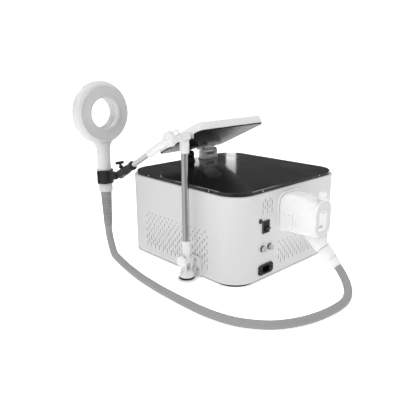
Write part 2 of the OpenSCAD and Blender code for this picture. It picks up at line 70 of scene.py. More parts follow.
def gridFaces(rows, columns, wrapRows, wrapColumns):  # four neighbours of a grid make one face
    index = np.arange(rows * columns).reshape(rows, columns)
    below = np.roll(index, -1, 0)
    quads = np.stack([index, np.roll(index, -1, 1), np.roll(below, -1, 1), below], -1)
    quads = quads if wrapRows else quads[:-1]
    quads = quads if wrapColumns else quads[:, :-1]
    return quads.reshape(-1, 4).tolist()


def loft(rings, closed=False):  # skin over a stack of rings; the ends are flat, or the last ring meets the first
    rings = np.asarray(rings, float)
    rows, columns = rings.shape[:2]
    faces = gridFaces(rows, columns, closed, True)
    if not closed:
        faces += [list(range(columns))[::-1], list(range((rows - 1) * columns, rows * columns))]
    return rings.reshape(-1, 3), faces


def placed(solid, origin=(0, 0, 0), axes=np.eye(3)):  # local x, y, z run along the three rows of axes
    points, faces = solid
    return points @ np.asarray(axes, float) + np.asarray(origin, float), faces


alongX = np.array([[0, 1, 0], [0, 0, 1], [1, 0, 0]])  # local x to Y, y to Z, z to X
alongY = np.array([[1, 0, 0], [0, 0, 1], [0, 1, 0]])  # local x to X, y to Z, z to Y
sideOut = np.array([(1, 0, 0), (0, 1, 0), (-1, 0, 0), (0, -1, 0)])   # outward from the +X, +Y, -X and -Y sides
sideLine = np.roll(sideOut, -1, 0)                                   # and along each of them


def tilted(slope):  # axes turned about X: local y tips up towards +Z by the slope in degrees
    a = radians(slope)
    return np.array([[1, 0, 0], [0, cos(a), sin(a)], [0, -sin(a), cos(a)]])


def polar(radius, angles):  # flat points at a radius, or one radius for each angle
    return np.stack([radius * np.cos(angles), radius * np.sin(angles)], 1)


def roundedOutline(width, depth, radius, steps=8):  # four quarter circles joined by straight sides
    angles = np.linspace(0, pi / 2, steps + 1)
    quarters = []
    for number, (sx, sy) in enumerate([(1, 1), (-1, 1), (-1, -1), (1, -1)]):
        turn = angles + number * pi / 2
        quarters.append(polar(radius, turn) + [sx * (width / 2 - radius), sy * (depth / 2 - radius)])
    return np.concatenate(quarters)


def softOutline(sides, power=24, count=64):
    # polygon with soft corners in polar form: 1 / (sum of (cos(angle - side) / distance) ^ power) ^ (1 / power)
    angles = np.linspace(0, 2 * pi, count, endpoint=False)
    reach = [np.clip(np.cos(angles - radians(side)), 0, 1) / distance for side, distance in sides]
    radius = np.sum(np.array(reach) ** power, 0) ** (-1 / power)
    return polar(radius, angles)


def flatRing(outline, height):
    return np.c_[outline, np.full(len(outline), float(height))]


def softLevels(low, high, edge, steps=3):
    # (inset, height) pairs: quarter circles at both rims, with a close ring beside each to keep the wall flat
    a = np.linspace(0, pi / 2, steps + 1)
    rise = np.stack([edge * (1 - np.sin(a)), edge * (1 - np.cos(a))], 1)
    top = np.stack([rise[::-1, 0], high - rise[::-1, 1]], 1)
    close = edge + min(0.4 * edge, 0.3 * max(high - low - 2 * edge, 0))
    return np.vstack([rise + [0, low], [(0, low + close), (0, high - close)], top])


def slab(width, depth, radius, levels, steps=8):  # rounded rectangle drawn in by an inset at each height
    return loft([flatRing(roundedOutline(width - 2 * inset, depth - 2 * inset, max(radius - inset, 0.1), steps),
                          height) for inset, height in levels])


def frameSlab(outer, inner, radius, innerRadius, levels, steps=8):  # slab with a rounded window right through
    rings = [flatRing(roundedOutline(outer[0] - 2 * i, outer[1] - 2 * i, max(radius - i, 0.1), steps), h)
             for i, h in levels]
    rings += [flatRing(roundedOutline(inner[0] + 2 * i, inner[1] + 2 * i, innerRadius, steps), h)
              for i, h in levels[::-1]]
    return loft(rings, True)


def prism(outline, levels):  # any outline about its own centre, shrunk by an inset at each height
    size = np.abs(outline).max()
    return loft([flatRing(outline * (1 - inset / size), height) for inset, height in levels])


def turned(profile, sides=48, closed=False):  # radius and height pairs turned about local z
    profile = np.asarray(profile, float)
    angles = np.linspace(0, 2 * pi, sides, endpoint=False)
    rings = np.stack([profile[:, :1] * np.cos(angles), profile[:, :1] * np.sin(angles),
                      np.repeat(profile[:, 1:], sides, 1)], -1)
    return loft(rings, closed)


def softRod(radius, low, high, edge=0.5, sides=48):  # cylinder with rounded rims
    levels = softLevels(low, high, edge)
    return turned(np.c_[radius - levels[:, 0], levels[:, 1]], sides)


def softPipe(radius, bore, low, high, edge=0.4, sides=48):  # tube with rounded rims, open right through
    levels = softLevels(low, high, edge)
    outside = np.c_[radius - levels[:, 0], levels[:, 1]]
    inside = np.c_[bore + levels[::-1, 0], levels[::-1, 1]]
    return turned(np.vstack([outside, inside]), sides, True)


def softBlock(low, high, edge=1.0):  # block with rounded edges between two corners
    low, high = np.asarray(low, float), np.asarray(high, float)
    size, middle = high - low, (high + low) / 2
    return placed(slab(size[0], size[1], edge * 1.05, softLevels(-size[2] / 2, size[2] / 2, edge), 4), middle)


def sweptTube(path, radius, sides=24):
    # circle carried along a path: its two directions are cross products with one fixed slanting line
    path = np.asarray(path, float)
    along = np.gradient(path, axis=0)
    along /= np.linalg.norm(along, axis=1)[:, None]
    u = np.cross(along, [0.35, 0.2, 0.91])
    u /= np.linalg.norm(u, axis=1)[:, None]
    v = np.cross(along, u)
    a = np.linspace(0, 2 * pi, sides, endpoint=False)[None, :, None]
    radius = np.broadcast_to(radius, len(path))[:, None, None]
    return path[:, None] + radius * (np.cos(a) * u[:, None] + np.sin(a) * v[:, None])


def smoothPath(points, samples):
    # centripetal Catmull-Rom curve: the parameter grows with the square root of each step's length
    points = np.asarray(points, float)
    ends = [2 * points[0] - points[1]], [2 * points[-1] - points[-2]]
    p = np.vstack([ends[0], points, ends[1]])
    t = np.r_[0, np.cumsum(np.sqrt(np.linalg.norm(np.diff(p, axis=0), axis=1)))]
    p0, p1, p2, p3 = (p[i:len(p) - 3 + i, None] for i in range(4))
    t0, t1, t2, t3 = (t[i:len(p) - 3 + i, None, None] for i in range(4))
    s = t1 + (t2 - t1) * np.linspace(0, 1, samples, endpoint=False)[None, :, None]
    a1 = ((t1 - s) * p0 + (s - t0) * p1) / (t1 - t0)
    a2 = ((t2 - s) * p1 + (s - t1) * p2) / (t2 - t1)
    a3 = ((t3 - s) * p2 + (s - t2) * p3) / (t3 - t2)
    b1 = ((t2 - s) * a1 + (s - t0) * a2) / (t2 - t0)
    b2 = ((t3 - s) * a2 + (s - t1) * a3) / (t3 - t1)
    curve = ((t2 - s) * b1 + (s - t1) * b2) / (t2 - t1)
    return np.vstack([curve.reshape(-1, points.shape[1]), points[-1:]])


def hexHead(apothem, low, high):  # six-sided nut with a soft top
    outline = softOutline([(60 * k, apothem) for k in range(6)], 40, 48)
    levels = [(0.3, low), (0, low + 0.3), (0, high - 0.7), (0.7, high)]
    return loft([flatRing(outline * (1 - inset / apothem), height) for inset, height in levels])


def screwHead(radius, low, high, socket):  # domed round head with a six-sided socket
    circle = polar(1, np.linspace(0, 2 * pi, 48, endpoint=False))
    hexagon = softOutline([(60 * k, socket) for k in range(6)], 40, 48)
    rings = [flatRing(circle * radius * k, low + (high - low) * h)
             for k, h in [(1, 0), (1, 0.35), (0.93, 0.7), (0.78, 0.93), (0.62, 1)]]
    return loft(rings + [flatRing(hexagon, high), flatRing(hexagon, low + (high - low) * 0.3)])


def meshOf(name, solids, merge=0.001):  # solids in millimetres become one mesh in metres, faces outwards
    starts = np.cumsum([0] + [len(points) for points, faces in solids])
    points = np.concatenate([points for points, faces in solids]) * 0.001
    faces = [[corner + int(start) for corner in face] for (p, fs), start in zip(solids, starts) for face in fs]
    mesh = bpy.data.meshes.new(name)
    mesh.from_pydata(points.tolist(), [], faces)
    work = bmesh.new()
    work.from_mesh(mesh)
    bmesh.ops.remove_doubles(work, verts=work.verts, dist=merge * 0.001)
    bmesh.ops.recalc_face_normals(work, faces=work.faces)
    work.to_mesh(mesh)
    work.free()
    return mesh


def carved(solids, cutters):  # solids less the cutters, by one exact boolean; comes back as one solid
    body, tool = (bpy.data.objects.new(n, meshOf(n, s)) for n, s in (("blank", solids), ("tool", cutters)))
    for item in (body, tool):
        bpy.context.scene.collection.objects.link(item)
    cut = body.modifiers.new("cut", "BOOLEAN")
    cut.operation, cut.solver, cut.object = "DIFFERENCE", "EXACT", tool
    cut.use_self = len(solids) > 1
    mesh = bpy.data.meshes.new_from_object(body.evaluated_get(bpy.context.evaluated_depsgraph_get()))
    points = np.empty(len(mesh.vertices) * 3)
    mesh.vertices.foreach_get("co", points)
    faces = [list(face.vertices) for face in mesh.polygons]
    for item in (body, tool):
        bpy.data.objects.remove(item)
    return points.reshape(-1, 3) * 1000, faces


def makePiece(name, solids, material, nodes=(), body=None, angle=32, slotName=None):
    # finished piece: smooth except across sharp edges, riding on the body of the node that it stands for
    piece = bpy.data.objects.new(name, meshOf(name, solids))
    bpy.context.scene.collection.objects.link(piece)
    piece.data.shade_smooth()
    piece.data.set_sharp_from_angle(angle=radians(angle))
    corners = np.empty(len(piece.data.polygons), int)
    piece.data.polygons.foreach_get("loop_total", corners)
    piece.data.polygons.foreach_set("use_smooth", corners <= 4)    # end faces stay flat
    piece.data.materials.append(material)
    nodes = [nodes] if isinstance(nodes, str) else list(nodes)
    if nodes:
        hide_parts(*nodes)
    if body != "none":
        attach(piece, body or bodyOf[nodes[0]])
    slotName or material["slotName"]
    return piece


# ---------- finishes ----------
def startMaterial(name, slotName):  # the shader, and a maker of linked nodes reading Object coordinates
    material = bpy.data.materials.new(name)
    material.use_nodes = True
    material["slotName"] = slotName
    tree = material.node_tree
    shader = tree.nodes["Principled BSDF"]
    place = tree.nodes.new("ShaderNodeTexCoord").outputs["Object"]

    def add(kind, **links):
        node = tree.nodes.new("ShaderNode" + kind)
        for socket, value in links.items():
            target = node.inputs[socket.replace("_", " ")]
            if isinstance(value, bpy.types.NodeSocket):
                tree.links.new(value, target)
            else:
                target.default_value = value
        return node

    return material, shader, place, add, tree.links


def mapped(add, value, low, high, start=0.3, end=0.7):  # noise from start to end becomes low to high
    node = add("MapRange", Value=value, From_Min=start, From_Max=end, To_Min=low, To_Max=high)
    return node.outputs["Result"]


def tinted(add, value, colour, shift):  # colour darkened and lightened by the shift as value goes 0.3 to 0.7
    ramp = add("ValToRGB", Fac=value)
    ramp.color_ramp.elements[0].position, ramp.color_ramp.elements[1].position = 0.3, 0.7
    ramp.color_ramp.elements[0].color = [c * (1 - shift) for c in colour] + [1]
    ramp.color_ramp.elements[1].color = [min(1, c * (1 + shift)) for c in colour] + [1]
    return ramp.outputs["Color"]


def noise(add, place, size, detail=3.0, stretch=(1, 1, 1)):  # noise with features of a size in millimetres
    if stretch != (1, 1, 1):
        mapping = add("Mapping", Vector=place)
        mapping.inputs["Scale"].default_value = stretch
        place = mapping.outputs["Vector"]
    return add("TexNoise", Vector=place, Scale=1000 / size, Detail=detail, Roughness=0.55).outputs["Fac"]


def dress(add, links, shader, colour, gloss, height, strength, relief):  # colour, gloss and relief of the shader
    bump = add("Bump", Height=height, Strength=strength, Distance=relief)
    links.new(colour, shader.inputs["Base Color"])
    links.new(gloss, shader.inputs["Roughness"])
    links.new(bump.outputs["Normal"], shader.inputs["Normal"])


def moulded(name, slotName, colour, rough, grain=1.0, relief=0.03, shift=0.02, coat=0.0, glow=0.0,
            metal=0.0, stretch=(1, 1, 1), specular=0.5):
    # base finish: slow colour drift, uneven gloss and a fine grain in the surface
    material, shader, place, add, links = startMaterial(name, slotName)
    drift, wear, fine = noise(add, place, 70), noise(add, place, 9), noise(add, place, grain, 4.0, stretch)
    dress(add, links, shader, tinted(add, drift, colour, shift),
          mapped(add, wear, rough * 0.85, min(1, rough * 1.15)), fine, 0.5, relief * 0.001)
    shader.inputs["Metallic"].default_value = metal
    shader.inputs["Specular IOR Level"].default_value = specular
    shader.inputs["Coat Weight"].default_value = coat
    shader.inputs["Coat Roughness"].default_value = 0.08
    if glow:
        shader.inputs["Subsurface Weight"].default_value = glow
        shader.inputs["Subsurface Radius"].default_value = (0.004, 0.004, 0.003)
        shader.inputs["Subsurface Scale"].default_value = 0.3
    return material


def sprayedSteel(name, slotName, colour, rough):  # sprayed coat with slight orange peel of about 2 mm
    material, shader, place, add, links = startMaterial(name, slotName)
    drift, peel, dust = noise(add, place, 120), noise(add, place, 2.2, 2.0), noise(add, place, 0.5, 2.0)
    links.new(tinted(add, drift, colour, 0.012), shader.inputs["Base Color"])
    links.new(mapped(add, noise(add, place, 25), rough * 0.9, rough * 1.12), shader.inputs["Roughness"])
    coarse = add("Bump", Height=peel, Strength=0.25, Distance=0.00004)
    fine = add("Bump", Height=dust, Strength=0.2, Distance=0.00001, Normal=coarse.outputs["Normal"])
    links.new(fine.outputs["Normal"], shader.inputs["Normal"])
    return material


def polishedAcrylic(name, slotName, colour, rough):  # clear black sheet with faint wiping haze
    material, shader, place, add, links = startMaterial(name, slotName)
    haze = noise(add, place, 45, 5.0, (1.0, 0.35, 1.0))
    specks = add("TexVoronoi", Vector=place, Scale=260.0)
    dress(add, links, shader, tinted(add, haze, colour, 0.15), mapped(add, haze, rough, rough * 2.2),
          specks.outputs["Distance"], 0.03, 0.00001)
    return material


def polishedMetal(name, slotName, colour, rough, stretch=(1, 1, 0.02), relief=0.004):
    # drawn metal: fine lines along one direction and a slow change of gloss
    material, shader, place, add, links = startMaterial(name, slotName)
    lines = noise(add, place, 0.6, 3.0, stretch)
    dress(add, links, shader, tinted(add, noise(add, place, 30), colour, 0.04),
          mapped(add, lines, rough * 0.7, rough * 1.4), lines, 0.3, relief * 0.001)
    shader.inputs["Metallic"].default_value = 1.0
    return material


def windingCopper(name, slotName, colour):  # rows of enamelled wire, 1.2 mm apart across the coil
    material, shader, place, add, links = startMaterial(name, slotName)
    wave = add("TexWave", Vector=place, Scale=130.0, Distortion=0.6)
    wave.bands_direction = "Y"
    dress(add, links, shader, tinted(add, wave.outputs["Fac"], colour, 0.25),
          mapped(add, noise(add, place, 5), 0.25, 0.4), wave.outputs["Fac"], 0.8, 0.0004)
    shader.inputs["Metallic"].default_value = 0.9
    return material


def circuitBoard(name, slotName, colour):  # green mask over square copper pads and tracks
    material, shader, place, add, links = startMaterial(name, slotName)
    cells = add("TexVoronoi", Vector=place, Scale=160.0)
    cells.distance = "CHEBYCHEV"
    dress(add, links, shader, tinted(add, cells.outputs["Distance"], colour, 0.35),
          mapped(add, noise(add, place, 6), 0.3, 0.5), cells.outputs["Distance"], 0.3, 0.0001)
    return material


casingWhite = sprayedSteel("casingWhite", "white_casing", (0.72, 0.72, 0.72), 0.34)
armWhite = sprayedSteel("armWhite", "white_metal", (0.80, 0.80, 0.80), 0.24)
lidBlack = polishedAcrylic("lidBlack", "black_gloss", (0.013, 0.013, 0.014), 0.06)
glassDark = polishedAcrylic("glassDark", "screen_glass", (0.01, 0.013, 0.018), 0.03)
partWhite = moulded("partWhite", "white_plastic", (0.93, 0.93, 0.925), 0.3, 0.8, 0.02, 0.01, glow=0.08)
# the ring shell's white plastic, darker than partWhite: painted shade
ringWhite = moulded("ringWhite", "white_plastic", (0.74, 0.74, 0.74), 0.3, 0.8, 0.02, 0.01)
ringGrey = moulded("ringGrey", "ring_grey", (0.60, 0.605, 0.61), 0.5, 0.7, 0.05, 0.02)
capGrey = moulded("capGrey", "grey_plastic", (0.73, 0.735, 0.74), 0.42, 0.8, 0.03, 0.015)
# the neck collar's white plastic, darker still than the ring shell: painted shade
collarGrey = moulded("collarGrey", "white_plastic", (0.62, 0.625, 0.63), 0.36, 0.8, 0.03, 0.015)
midGrey = moulded("midGrey", "grey_plastic", (0.10, 0.10, 0.105), 0.42, 0.8, 0.03, 0.02)
partBlack = moulded("partBlack", "black_plastic", (0.010, 0.010, 0.011), 0.4, 0.7, 0.05, 0.12)
backBlack = moulded("backBlack", "black_plastic", (0.014, 0.014, 0.016), 0.34, 0.9, 0.03, 0.1)
darkGrey = moulded("darkGrey", "dark_plastic", (0.05, 0.05, 0.055), 0.45, 0.8, 0.04, 0.08)
trayBlack = moulded("trayBlack", "black_steel", (0.014, 0.014, 0.016), 0.5, 1.2, 0.06, 0.1)
rubberBlack = moulded("rubberBlack", "rubber", (0.014, 0.014, 0.014), 0.65, 1.5, 0.08, 0.12, specular=0.3)
hoseSkin = moulded("hoseSkin", "hose_grey", (0.33, 0.332, 0.335), 0.46, 0.9, 0.04, 0.035, specular=0.4)
reliefGrey = moulded("reliefGrey", "relief_grey", (0.27, 0.275, 0.28), 0.5, 0.9, 0.04, 0.04, specular=0.4)
tubeSteel = polishedMetal("tubeSteel", "polished_steel", (0.56, 0.56, 0.57), 0.05, relief=0.0008)
rodSteel = polishedMetal("rodSteel", "polished_steel", (0.80, 0.80, 0.81), 0.14, (1, 0.02, 0.05))
screwSteel = polishedMetal("screwSteel", "steel", (0.62, 0.62, 0.63), 0.28, (1, 1, 1))
hingeSteel = polishedMetal("hingeSteel", "hinge_steel", (0.80, 0.80, 0.81), 0.36, (0.02, 1, 1), 0.01)
nickelCap = polishedMetal("nickelCap", "nickel", (0.72, 0.72, 0.71), 0.2, (1, 1, 1))
contactBrass = polishedMetal("contactBrass", "brass", (0.72, 0.52, 0.22), 0.22, (1, 1, 1))
coilCopper = windingCopper("coilCopper", "copper", (0.62, 0.30, 0.14))
boardGreen = circuitBoard("boardGreen", "board_green", (0.03, 0.15, 0.06))
fuseGlass = moulded("fuseGlass", "fuse_glass", (0.75, 0.78, 0.78), 0.12, 3.0, 0.01, 0.02)
print("finishes ready")


# ---------- view ----------
view = dict(place=(0.87535, 0.81970, 0.46189), lens=41.754, heading=226.156, pitch=-16.565, roll=-0.30)


def makeCamera():
    heading, pitch, roll = (radians(view[key]) for key in ("heading", "pitch", "roll"))
    forward = Vector((cos(pitch) * cos(heading), cos(pitch) * sin(heading), sin(pitch)))
    right = forward.cross(Vector((0, 0, 1))).normalized()
    up = right.cross(forward)
    across, upward = cos(roll) * right + sin(roll) * up, cos(roll) * up - sin(roll) * right
    camera = bpy.data.objects.new("camera", bpy.data.cameras.new("camera"))
    camera.data.lens, camera.data.sensor_width = view["lens"], 36
    camera.matrix_world = Matrix.Translation(view["place"]) @ Matrix(
        (across, upward, -forward)).transposed().to_4x4()
    bpy.context.scene.collection.objects.link(camera)
    bpy.context.scene.camera = camera


makeCamera()


# ---------- hose ----------
hose = dict(diameter=0.017, sides=32, ringGap=0.004, elbowDip=radians(40))
hoseRoute = [(0.263, -0.177, 0.078), (0.263, -0.177, 0.070), (0.264, -0.173, 0.054), (0.268, -0.159, 0.032),
             (0.275, -0.137, 0.016), (0.278, -0.110, 0.0095), (0.286, -0.075, 0.0086), (0.294, -0.035, 0.0086),
             (0.301, 0.005, 0.0086), (0.305, 0.045, 0.0086), (0.308, 0.085, 0.0086), (0.309, 0.125, 0.0086),
             (0.309, 0.165, 0.0086), (0.308, 0.205, 0.0086), (0.303, 0.245, 0.0086), (0.293, 0.281, 0.0086),
             (0.276, 0.312, 0.0086), (0.254, 0.338, 0.0086), (0.225, 0.358, 0.0086), (0.190, 0.373, 0.0086),
             (0.150, 0.382, 0.0086), (0.110, 0.385, 0.0086), (0.076, 0.382, 0.0095), (0.050, 0.372, 0.014),
             (0.031, 0.356, 0.024),
             (0.017, 0.324 + 0.008 * cos(hose["elbowDip"]), 0.047 - 0.008 * sin(hose["elbowDip"])),
             (0.017, 0.324, 0.047)]


def makeHose():
    # one smooth tube, cut into four lengths that share their end rings
    fine = smoothPath(hoseRoute, 24)
    travelled = np.r_[0, np.cumsum(np.linalg.norm(np.diff(fine, axis=0), axis=1))]
    count = int(travelled[-1] / hose["ringGap"])
    path = np.stack([np.interp(np.linspace(0, travelled[-1], count), travelled, fine[:, k]) for k in range(3)], 1)
    rings = sweptTube(path, hose["diameter"] / 2, hose["sides"])
    lengths = [("hoseTop", 5, "clip", "arm"), ("hoseFront", 8, "arm", "post"),
               ("hoseSide", 11, "post", "foot"), ("hoseRear", 26, "foot", "root")]
    first = 0
    for name, stop, near, far in lengths:
        last = int(np.argmin(np.linalg.norm(path - hoseRoute[stop], axis=1)))
        solid = loft(rings[first:last + 1] * 1000)
        piece = makePiece(name, [solid], hoseSkin, "hose", body="none")
        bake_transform(piece)
        first = last
    print("hose laid, %.3f m" % travelled[-1])


makeHose()


# ---------- casing and lid ----------
casing = dict(wall=2.5, corner=59.0, rim=1.6, cornerSteps=16, slotWide=2.2, slotPitch=7.7, slotRise=18.0,
              slotLong=13.0, slotShort=3.0, sideMiddle=-2.5, sideLow=31.0, sideWide=218.0, sideRows=5)
rearFields = [(-14.0, 32.0, 138.0, 3), (96.0, 160.0, 31.0, 1), (96.0, 176.0, 31.0, 1)]


def slotBoxes(face, middle, low, width, rows):
    # staggered columns: every other one is half a step higher, and slots shorten towards the top
    columns = int(width // casing["slotPitch"])
    i, k = np.meshgrid(np.arange(columns + 1), np.arange(rows))
    rise = (k + (i % 2) / 2) * casing["slotRise"]
    along = middle + (i - columns / 2) * casing["slotPitch"]
    high = casing["slotLong"] - (casing["slotLong"] - casing["slotShort"]) * rise / (rows * casing["slotRise"])
    half = casing["slotWide"] / 2
    return np.stack([np.full(i.shape, face), along - half, along + half, low + rise - high / 2,
                     low + rise + high / 2], -1).reshape(-1, 5)


def makeCasing():
    # sheet wall as a grid around the rounded square; cells inside a slot are left out and given side faces
    low, high, middle = boxOf("casing")
    half, corner, wall = high[0], casing["corner"], casing["wall"]
    side = (casing["sideMiddle"], casing["sideLow"], casing["sideWide"], casing["sideRows"])
    inlet, switch = boxOf("mains_inlet"), boxOf("switch_frame")
    windows = np.array([[1, inlet[2][0] - 13.9, inlet[2][0] + 13.9, inlet[2][2] - 9.9, inlet[2][2] + 9.9],
                        [1, switch[0][0] + 2, switch[1][0] - 2, switch[0][2] + 2, switch[1][2] - 2]])
    holes = np.vstack([slotBoxes(0, *side), slotBoxes(2, *side), windows]
                      + [slotBoxes(1, *field) for field in rearFields])
    edge = half - corner
    points, normals, faceOf, alongOf = [], [], [], []
    for face in range(4):  # +X, +Y, -X, -Y sides, each followed by its corner
        own = holes[holes[:, 0] == face]
        marks = np.unique(np.round(np.r_[-edge, own[:, 1], own[:, 2], edge], 4))
        run = marks if face in (0, 3) else marks[::-1]
        out, line = sideOut[face, :2], sideLine[face, :2]
        signed = run if face in (0, 3) else -run
        straight = out * half + signed[:, None] * line
        turn = np.linspace(0, pi / 2, casing["cornerSteps"] + 1)[1:-1, None]
        arcNormal = out * np.cos(turn) + line * np.sin(turn)
        points += [straight, (out + line) * edge + corner * arcNormal]
        normals += [np.repeat(out[None], len(run), 0), arcNormal]
        faceOf += [np.full(len(run), face), np.full(len(turn), -1)]
        alongOf += [run, np.zeros(len(turn))]
    points, normals = np.vstack(points), np.vstack(normals)
    faceOf, alongOf = np.concatenate(faceOf), np.concatenate(alongOf)
    rim = casing["rim"]
    top = softLevels(low[2], high[2], rim)[4:]
    insets = np.r_[0.5, 0, top[:, 0]]
    heights = np.r_[low[2], low[2] + 0.5, top[:, 1]]
    marks = np.unique(np.round(np.r_[holes[:, 3], holes[:, 4]], 4))
    levels = np.unique(np.r_[heights, marks])
    inset = np.interp(levels, heights, insets)
    rows, columns = len(levels), len(points)
    outer = np.concatenate([points - inset[:, None, None] * normals,
                            np.repeat(levels[:, None, None], columns, 1)], -1)
    inside = points[None] - wall * normals + np.zeros((rows, 1, 1))
    inner = np.concatenate([inside, np.repeat(np.minimum(levels, high[2] - wall)[:, None, None], columns, 1)], -1)
    nextFace, nextAlong = np.roll(faceOf, -1), np.roll(alongOf, -1)
    onWall = (faceOf >= 0) & (faceOf == nextFace)
    middleAlong = (alongOf + nextAlong) / 2
    middleUp = (levels[:-1] + levels[1:]) / 2
    hit = (holes[:, 0, None] == faceOf) & (holes[:, 1, None] < middleAlong) & (middleAlong < holes[:, 2, None])
    up = (holes[:, 3, None] < middleUp) & (middleUp < holes[:, 4, None])
    isOpen = (hit[:, None] & up[:, :, None]).any(0) & onWall
    index = np.arange(rows * columns).reshape(rows, columns)
    right = np.roll(index, -1, 1)
    size = rows * columns
    cells = np.stack([index[:-1], right[:-1], right[1:], index[1:]], -1)[~isOpen]
    faces = [cells, cells[:, ::-1] + size]
    across = isOpen != np.roll(isOpen, 1, 1)       # slot side faces stand where open and closed cells meet
    row, column = np.nonzero(across)
    faces.append(np.stack([index[row, column], index[row + 1, column], index[row + 1, column] + size,
                           index[row, column] + size], -1))
    row, column = np.nonzero(isOpen[1:] != isOpen[:-1])
    line = index[row + 1, column], right[row + 1, column]
    faces.append(np.stack([line[0], line[1], line[1] + size, line[0] + size], -1))
    bottom = np.stack([index[0], right[0], right[0] + size, index[0] + size], -1)
    faces = np.vstack(faces + [bottom]).tolist()
    faces += [index[-1].tolist(), (index[-1][::-1] + size).tolist()]
    allPoints = np.vstack([outer.reshape(-1, 3), inner.reshape(-1, 3)])
    makePiece("casing_shell", [(allPoints, faces)], casingWhite, "casing", angle=35)


makeCasing()

lid = dict(corner=52.6, chamfer=0.9, screwReach=105.0, screwUp=4.0, screwRadius=2.0)


def makeLid():
    low, high, middle = boxOf("top_lid")
    size = high - low
    chamfer = lid["chamfer"]
    levels = [(0.5, low[2]), (0, low[2] + 0.5), (0, high[2] - chamfer), (chamfer, high[2])]
    makePiece("lid_sheet", [placed(slab(size[0], size[1], lid["corner"], levels, 20), (middle[0], middle[1], 0))],
              lidBlack, "top_lid", angle=25)
    heads = []
    for k in range(4):
        out, line = sideOut[k], sideLine[k]
        for side in (-1, 1):
            spot = out * (high[0] - 0.1) + line * side * lid["screwReach"] + [0, 0, low[2] + lid["screwUp"]]
            heads.append(placed(screwHead(lid["screwRadius"], 0, 1.1, 1.1), spot, [line, (0, 0, 1), out]))
    makePiece("lid_screw_heads", heads, screwSteel, "lid_screws")


makeLid()

tray = dict(inset=3.2, corner=48.0)


def makeTray():
    low, high, middle = boxOf("base_tray")
    half = boxOf("casing")[1][0]
    under = slab(2 * (half - tray["inset"]), 2 * (half - tray["inset"]), tray["corner"],
                 softLevels(low[2], 5.2, 0.6), 16)
    lip = frameSlab((2 * half - 5.8, 2 * half - 5.8), (2 * half - 9.8, 2 * half - 9.8), 56, 54,
                    softLevels(5.1, high[2], 0.4), 16)
    makePiece("tray", [under, lip], trayBlack, "base_tray")
    feetLow, feetHigh, feetMiddle = boxOf("rubber_feet")
    reach = feetHigh[0] - 16
    rings = [(0.5, 0), (5, 0), (5.6, 0.5), (7.4, 0.5), (8, 0), (15.2, 0), (16, 0.8), (16, 2.9), (0.5, 2.9)]
    feet = [placed(turned(rings), (x, y, 0)) for x, y in
            [(reach, reach), (-reach, reach), (-reach, -reach), (reach, -reach), (0, 0)]]
    makePiece("feet", feet, rubberBlack, "rubber_feet")


makeTray()
print("casing, lid and tray ready")


# ---------- rear panel ----------
rear = dict(fuseFlutes=24, fuseRadius=6.0, inletHeight=26.5, fuseHeight=76.0, fuseAcross=(86.0, 110.0))


def makeInlet():
    # lens-shaped flange, then a pocket with two cut corners for the mains connector
    low, high, middle = boxOf("mains_inlet")
    face = boxOf("casing")[1][1]
    width = (high[0] - low[0]) / 2
    outline = softOutline([(90, 12), (270, 12), (0, width), (180, width)]
                          + [(a, width * 0.815) for a in (57, 123, 237, 303)], 60, 96)
    pocket = softOutline([(0, 12), (180, 12), (90, 8), (270, 7.5), (45, 12.6), (135, 12.6)], 60, 96)
    out = face + 3
    rings = [flatRing(outline * 0.97, face + 0.02), flatRing(outline, face + 0.5), flatRing(outline, out - 0.7),
             flatRing(outline * 0.985, out - 0.1), flatRing(outline * 0.96, out),
             flatRing(pocket * 1.05, out), flatRing(pocket, out - 0.5), flatRing(pocket, out - 22),
             flatRing(pocket * 1.1, out - 22.2)]
    shell = [flatRing(pocket * 1.1, face + 0.3)]
    solid = loft(rings + shell, True)
    spot = (middle[0], 0, rear["inletHeight"])
    backWall = prism(pocket * 1.09, [(0, 163), (0, out - 21.9)])
    makePiece("inlet_housing", [placed(solid, spot, alongY), placed(backWall, spot, alongY)], partBlack,
              "mains_inlet")
    screwLow, screwHigh, screwMiddle = boxOf("inlet_screws")
    heads = [placed(screwHead(2.6, face + 2.9, screwHigh[1], 1.2), (x, 0, rear["inletHeight"]), alongY)
             for x in (screwLow[0] + 2.6, screwHigh[0] - 2.6)]
    makePiece("inlet_screw_heads", heads, trayBlack, "inlet_screws")


def makeFuses():
    face = boxOf("casing")[1][1]
    for name in ("fuse_cap_left", "fuse_cap_right"):
        low, high, middle = boxOf(name)
        angles = np.linspace(0, 2 * pi, 96, endpoint=False)
        circle = polar(1, angles)
        flute = circle * (rear["fuseRadius"] - 0.25 + 0.25 * np.cos(rear["fuseFlutes"] * angles))[:, None]
        rings = [flatRing(circle * 4.6, face - 6), flatRing(circle * 4.6, face + 2.6), flatRing(flute, face + 2.7),
                 flatRing(flute, high[1] - 1.2), flatRing(circle * 5.4, high[1] - 0.3),
                 flatRing(circle * 4.9, high[1])]
        slotCut = softBlock((-7, -0.8, high[1] - 1.6), (7, 0.8, high[1] + 2), 0.1)
        cap = carved([loft(rings)], [slotCut])
        makePiece(name.replace("fuse_cap", "fuse_screw_cap"),
                  [placed(cap, (middle[0], 0, middle[2]), alongY)], nickelCap, name)
    holders = [placed(softPipe(radius, 4.8, start, end, edge), (x, 0, rear["fuseHeight"]), alongY)
               for radius, start, end, edge in ((7.4, face + 0.02, face + 2.2, 0.5), (6.1, 159, face + 0.5, 0.3))
               for x in rear["fuseAcross"]]
    makePiece("fuse_bodies", holders, midGrey, "fuse_holders")


